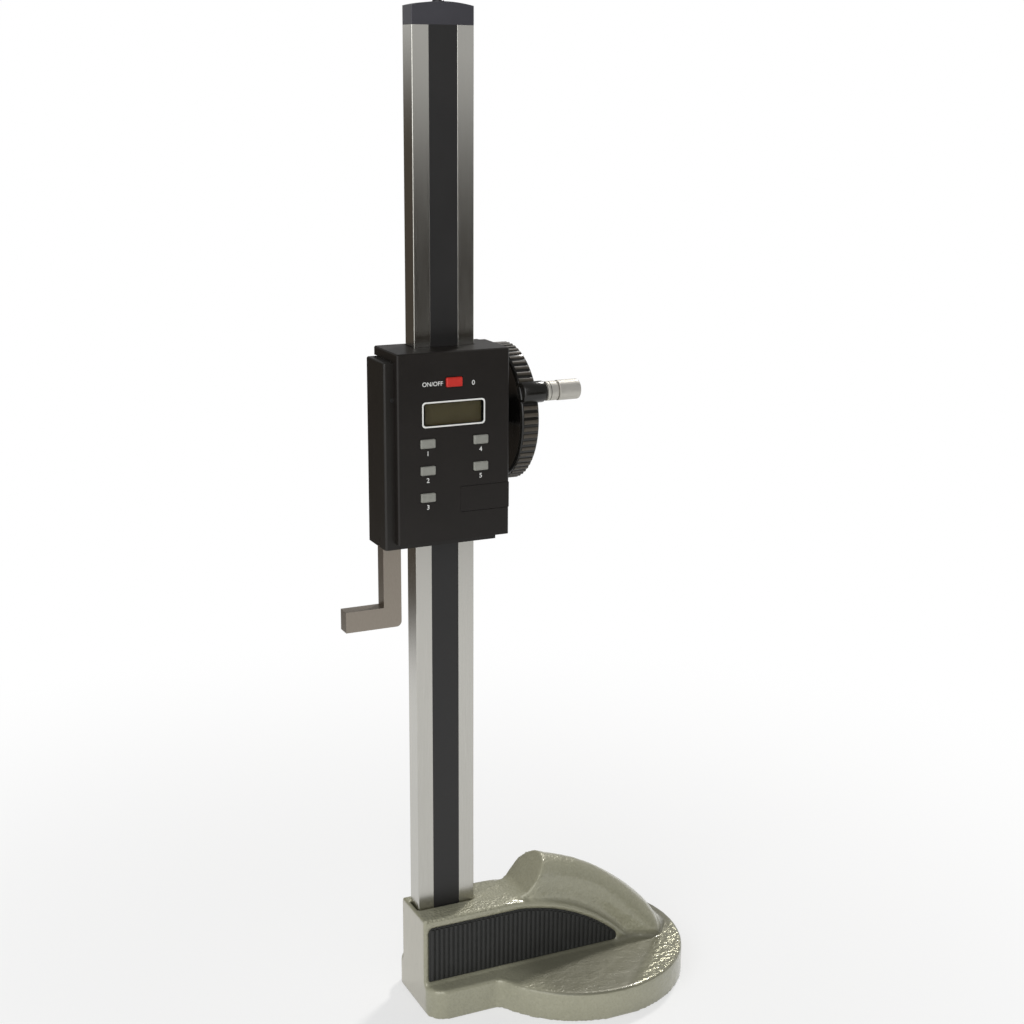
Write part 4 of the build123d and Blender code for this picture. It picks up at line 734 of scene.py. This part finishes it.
# --------------------------------------------------------------- grip pads
# in mm, seen from the side of the base
PAD_LEFT, PAD_SHOULDER, PAD_RIGHT = -14.4, 33.0, 87.6
PAD_LOW, PAD_HIGH, PAD_STOP = 15.5, 43.8, 19.5
PAD_SAG = 4.9
PAD_CORNER = 2.5
PAD_NOSE = 1.2
PAD_BACK, PAD_FACE = 12.75, 13.95
PAD_GAP = 0.1
PAD_EDGE = 0.35
RIB_MID = 13.58
RIB_RADIUS = 1.12
RIB_PITCH = 2.427
RIB_MARGIN = 2.0
RIB_INSET = 0.95
SHORTEST_RIB = 2.0


def pad_arc():
    """Centre and radius, in mm, of the arc along the top of the pads."""
    run, fall = PAD_RIGHT - PAD_SHOULDER, PAD_HIGH - PAD_STOP
    chord = hypot(run, fall)
    radius = (chord * chord / 4 + PAD_SAG * PAD_SAG) / (2 * PAD_SAG)
    middle = ((PAD_SHOULDER + PAD_RIGHT) / 2, (PAD_HIGH + PAD_STOP) / 2)
    back = radius - PAD_SAG
    return middle[0] - back * fall / chord, middle[1] - back * run / chord, radius


def pad_outline(inset):
    """Points round a pad, in mm, brought in by inset."""
    cx, cz, radius = pad_arc()
    left, right = PAD_LEFT + inset, PAD_RIGHT - inset
    low, high = PAD_LOW + inset, PAD_HIGH - inset
    radius -= inset
    corner = PAD_CORNER - inset
    points = [
        (left + corner - corner * cos(turn), high - corner + corner * sin(turn))
        for turn in [pi / 2 * step / 6 for step in range(7)]
    ]
    nose_x = right - PAD_NOSE - cx
    start = atan2(sqrt(max(radius * radius - (high - cz) ** 2, 0)), high - cz)
    end = atan2(nose_x, sqrt(radius * radius - nose_x ** 2))
    for step in range(25):
        turn = start + (end - start) * step / 24
        points.append((cx + radius * sin(turn), cz + radius * cos(turn)))
    # the nose and the heel below it, each rounded in short steps
    nose_z = points[-1][1]
    points += [(right - 0.35, nose_z - 1.0), (right, nose_z - 2.2)]
    points += [(right, low + 1.0), (right - 0.3, low + 0.3), (right - 1.0, low), (left, low)]
    return points


def make_slab(name, side, node):
    """The plain rubber slab of a pad, with a bevelled edge."""
    middle = BASE_MID_Y / MM
    shape = bmesh.new()
    loops = [
        [
            shape.verts.new((x * MM, (middle + side * depth) * MM, z * MM))
            for x, z in pad_outline(inset)
        ]
        for inset, depth in (
            (PAD_GAP, PAD_BACK), (PAD_GAP, PAD_FACE - PAD_EDGE), (PAD_GAP + PAD_EDGE, PAD_FACE)
        )
    ]
    for outer, inner in zip(loops, loops[1:]):
        for index in range(len(outer)):
            after = (index + 1) % len(outer)
            shape.faces.new((outer[index], outer[after], inner[after], inner[index]))
    shape.faces.new(loops[0])
    shape.faces.new(loops[-1])
    bmesh.ops.recalc_face_normals(shape, faces=shape.faces)
    as_piece(name, as_mesh(name, shape), "grip_rubber", "stand", node)


def make_ribs(name, side):
    """Upright round ribs inside a pad's outline, each as high as it allows."""
    cx, cz, radius = pad_arc()
    count = int((PAD_RIGHT - PAD_LEFT - 2 * RIB_MARGIN) / RIB_PITCH) + 1
    g = Repeat(name, (
        ("Ribs", "NodeSocketInt", count),
        ("Pitch", "NodeSocketFloat", RIB_PITCH * MM),
        ("Rib Radius", "NodeSocketFloat", RIB_RADIUS * MM),
        ("First Rib", "NodeSocketFloat", (PAD_LEFT + RIB_MARGIN) * MM),
        ("Foot", "NodeSocketFloat", (PAD_LOW + RIB_INSET) * MM),
        ("Top", "NodeSocketFloat", (PAD_HIGH - RIB_INSET) * MM),
        ("Shortest", "NodeSocketFloat", SHORTEST_RIB * MM),
        ("Arc Radius", "NodeSocketFloat", (radius - RIB_INSET) * MM),
        ("Arc X", "NodeSocketFloat", cx * MM),
        ("Arc Z", "NodeSocketFloat", cz * MM),
    ))
    index = g.node("GeometryNodeInputIndex")
    x = g.math("MULTIPLY_ADD", index, g.given["Pitch"], g.given["First Rib"])
    across = g.math("MAXIMUM", g.math("SUBTRACT", x, g.given["Arc X"]), 0.0)
    squared = g.math(
        "SUBTRACT", g.math("POWER", g.given["Arc Radius"], 2.0), g.math("POWER", across, 2.0)
    )
    arc = g.math("ADD", g.given["Arc Z"], g.math("SQRT", g.math("MAXIMUM", squared, 0.0)))
    top = g.math("MINIMUM", g.given["Top"], arc)
    height = g.math("MAXIMUM", g.math("SUBTRACT", top, g.given["Foot"]), g.given["Shortest"])
    place = g.node("ShaderNodeCombineXYZ", x, 0.0, g.given["Foot"])
    points = g.node("GeometryNodePoints", g.given["Ribs"], place)
    rib = g.bar(1.0, g.given["Rib Radius"])
    scale = g.node("ShaderNodeCombineXYZ", 1.0, 1.0, height)
    copies = g.node("GeometryNodeInstanceOnPoints", points, Instance=rib, Scale=scale)
    mesh = g.finish(copies, FINISHES["grip_rubber"])
    mesh.transform(Matrix.Translation((0.0, BASE_MID_Y + side * RIB_MID * MM, 0.0)))
    as_piece(name, mesh, "grip_rubber", "stand")


# --------------------------------------------------------------- lettering
LABELS = (
    ("label_power", "ON/OFF", (-11.7, 306.3), 1.9 * MM),
    ("label_zero", "0", (7.7, 305.7), 2.1 * MM),
    ("label_one", "1", (-14.1, 275.5), 2.1 * MM),
    ("label_two", "2", (-14.1, 263.4), 2.1 * MM),
    ("label_three", "3", (-14.1, 251.2), 2.1 * MM),
    ("label_four", "4", (11.3, 275.5), 2.1 * MM),
    ("label_five", "5", (11.3, 263.4), 2.1 * MM),
)
PRINT_DEPTH = 0.01 * MM


def lettering(name, words, middle, height):
    """Words printed on the front of the case, as a thin mesh."""
    curve = bpy.data.curves.new(name, "FONT")
    curve.body = words
    curve.align_x = "CENTER"
    curve.align_y = "CENTER"
    curve.size = height * 1.42
    curve.offset = height * 0.012
    curve.extrude = PRINT_DEPTH
    mesh = settled(curve)
    upright = Matrix.Rotation(pi / 2, 4, "X")
    x, z = middle
    mesh.transform(Matrix.Translation((x * MM, CASE_FRONT - PRINT_DEPTH, z * MM)) @ upright)
    as_piece(name, mesh, "bezel_pale", "head", material=WHITE_PRINT)


# ------------------------------------------------- floor, light and camera
def direct_view(shader):
    """Two values: 1 for rays that show the stage itself, and 1 for reflections."""
    path = shader.outputs(shader.node("ShaderNodeLightPath", {}))
    seen = path["Is Camera Ray"]
    for name in ("Is Glossy Ray", "Is Transmission Ray"):
        seen = seen.math("MAXIMUM", path[name])
    return seen, path["Is Glossy Ray"]


def stage_sheet(name, corners, material):
    """A flat sheet of the studio, which isn't part of the object."""
    mesh = bpy.data.meshes.new(name)
    mesh.from_pydata(corners, [], [tuple(range(len(corners)))])
    mesh.materials.append(material)
    sheet = bpy.data.objects.new(name, mesh)
    bpy.context.scene.collection.objects.link(sheet)
    return sheet


def make_floor():
    """Pale round the object, where it takes the shadow, and white farther off."""
    f = Finish("pale_floor")
    x, y, _ = f.axes(f.place)
    seen = direct_view(f)[0]
    white = f.ramp(length(x, y), 0.12, 0.55) * 0.45 + 0.55
    diffuse = f.node("ShaderNodeBsdfDiffuse", {}, (0.86, 0.86, 0.85, 1.0))
    glow = f.node("ShaderNodeEmission", {}, (1.0, 1.0, 1.0, 1.0), 1.0)
    f.end(f.node("ShaderNodeMixShader", {}, seen * white, diffuse, glow))
    reach, drop = 6.0, 0.2 * MM
    sides = ((-reach, -reach), (reach, -reach), (reach, reach), (-reach, reach))
    stage_sheet("floor", [(x, y, -drop) for x, y in sides], f.material)


def make_flag(name, shade, left, right, high):
    """A dark card standing on the floor, seen only in what the metal reflects."""
    f = Finish(name + "_shade")
    z = f.axes(f.place)[2]
    cover = f.ramp(z, 0.0, 0.06) * (1.0 - f.ramp(z, high - 0.10, high))
    clear = f.node("ShaderNodeBsdfTransparent", {})
    card = f.node("ShaderNodeEmission", {}, (*shade, 1.0), 1.0)
    f.end(f.node("ShaderNodeMixShader", {}, cover, clear, card))
    corners = [(*left, 0.0), (*right, 0.0), (*right, high), (*left, high)]
    flag = stage_sheet(name, corners, f.material)
    flag.visible_camera = False
    flag.visible_diffuse = False
    flag.visible_shadow = False
    flag.visible_transmission = False


def make_world():
    """White all round, dim above where it is reflected, and an even light."""
    world = bpy.data.worlds.new("studio")
    bpy.context.scene.world = world
    world.use_nodes = True
    w = Shader(world.node_tree)
    seen, glossy = direct_view(w)
    upward = w.axes(w.node("ShaderNodeTexCoord", {}, out="Generated"))[2]
    sheen = w.ramp(upward, 0.01, 0.16) * glossy * -0.72 + 1.0
    light = w.node("ShaderNodeBackground", {}, (0.94, 0.96, 1.0, 1.0), 0.32)
    white = w.node("ShaderNodeBackground", {}, (1.0, 1.0, 1.0, 1.0), sheen)
    w.end(w.node("ShaderNodeMixShader", {}, seen, light, white), "ShaderNodeOutputWorld")


def make_lamp(name, place, aim, size, power, colour=(1.0, 1.0, 1.0)):
    """A square area lamp that points at aim."""
    data = bpy.data.lights.new(name, "AREA")
    data.shape = "SQUARE"
    data.size = size
    data.energy = power
    data.color = colour
    lamp = bpy.data.objects.new(name, data)
    bpy.context.scene.collection.objects.link(lamp)
    lamp.location = place
    direction = Vector(aim) - Vector(place)
    lamp.rotation_euler = direction.to_track_quat("-Z", "Y").to_euler()


def make_camera(place, azimuth, pitch, roll, lens):
    """A camera that looks along azimuth, clockwise from +y, and up by pitch."""
    ahead = Vector((sin(azimuth) * cos(pitch), cos(azimuth) * cos(pitch), sin(pitch)))
    level = Vector((cos(azimuth), -sin(azimuth), 0.0))
    upward = level.cross(ahead)
    right = cos(roll) * level + sin(roll) * upward
    up = cos(roll) * upward - sin(roll) * level
    data = bpy.data.cameras.new("camera")
    data.sensor_fit = "HORIZONTAL"
    data.sensor_width = 36.0
    data.lens = lens
    camera = bpy.data.objects.new("camera", data)
    bpy.context.scene.collection.objects.link(camera)
    turn = Matrix((right, up, -ahead)).transposed().to_4x4()
    camera.matrix_world = Matrix.Translation(place) @ turn
    bpy.context.scene.camera = camera


# ---------------------------------------------------------------- the scene
eased("carriage", 0.35 * MM, broad=carriage_outline)
for node, width in EASES.items():
    eased(node, width * MM)
make_casting()
make_handwheel()
for name, side, node in (("front_pad", -1, "grip_pad_front"), ("rear_pad", 1, "grip_pad_rear")):
    make_slab(name, side, node)
    make_ribs(name + "_ribs", side)
for label in LABELS:
    lettering(*label)

make_floor()
make_world()
make_flag(
    "front_flag", shade=(0.020, 0.015, 0.010), left=(-0.15, -0.85), right=(1.1, -0.85), high=0.44
)
make_flag(
    "rear_flag", shade=(0.09, 0.075, 0.060), left=(-0.72, 0.16), right=(0.08, 0.54), high=0.50
)
make_lamp(
    "key", place=(0.75, 0.58, 1.15), aim=(0.0, 0.0, 0.15), size=0.16, power=9.5,
    colour=(1.0, 0.98, 0.95),
)
make_lamp("fill", place=(-0.9, -0.9, 0.9), aim=(0.0, 0.0, 0.25), size=1.4, power=14.0)
make_camera(
    place=(-0.28985, -0.68976, 0.43874), azimuth=radians(25.30), pitch=radians(-14.66),
    roll=radians(0.37), lens=59.38,
)
bpy.context.scene.view_settings.view_transform = "Standard"
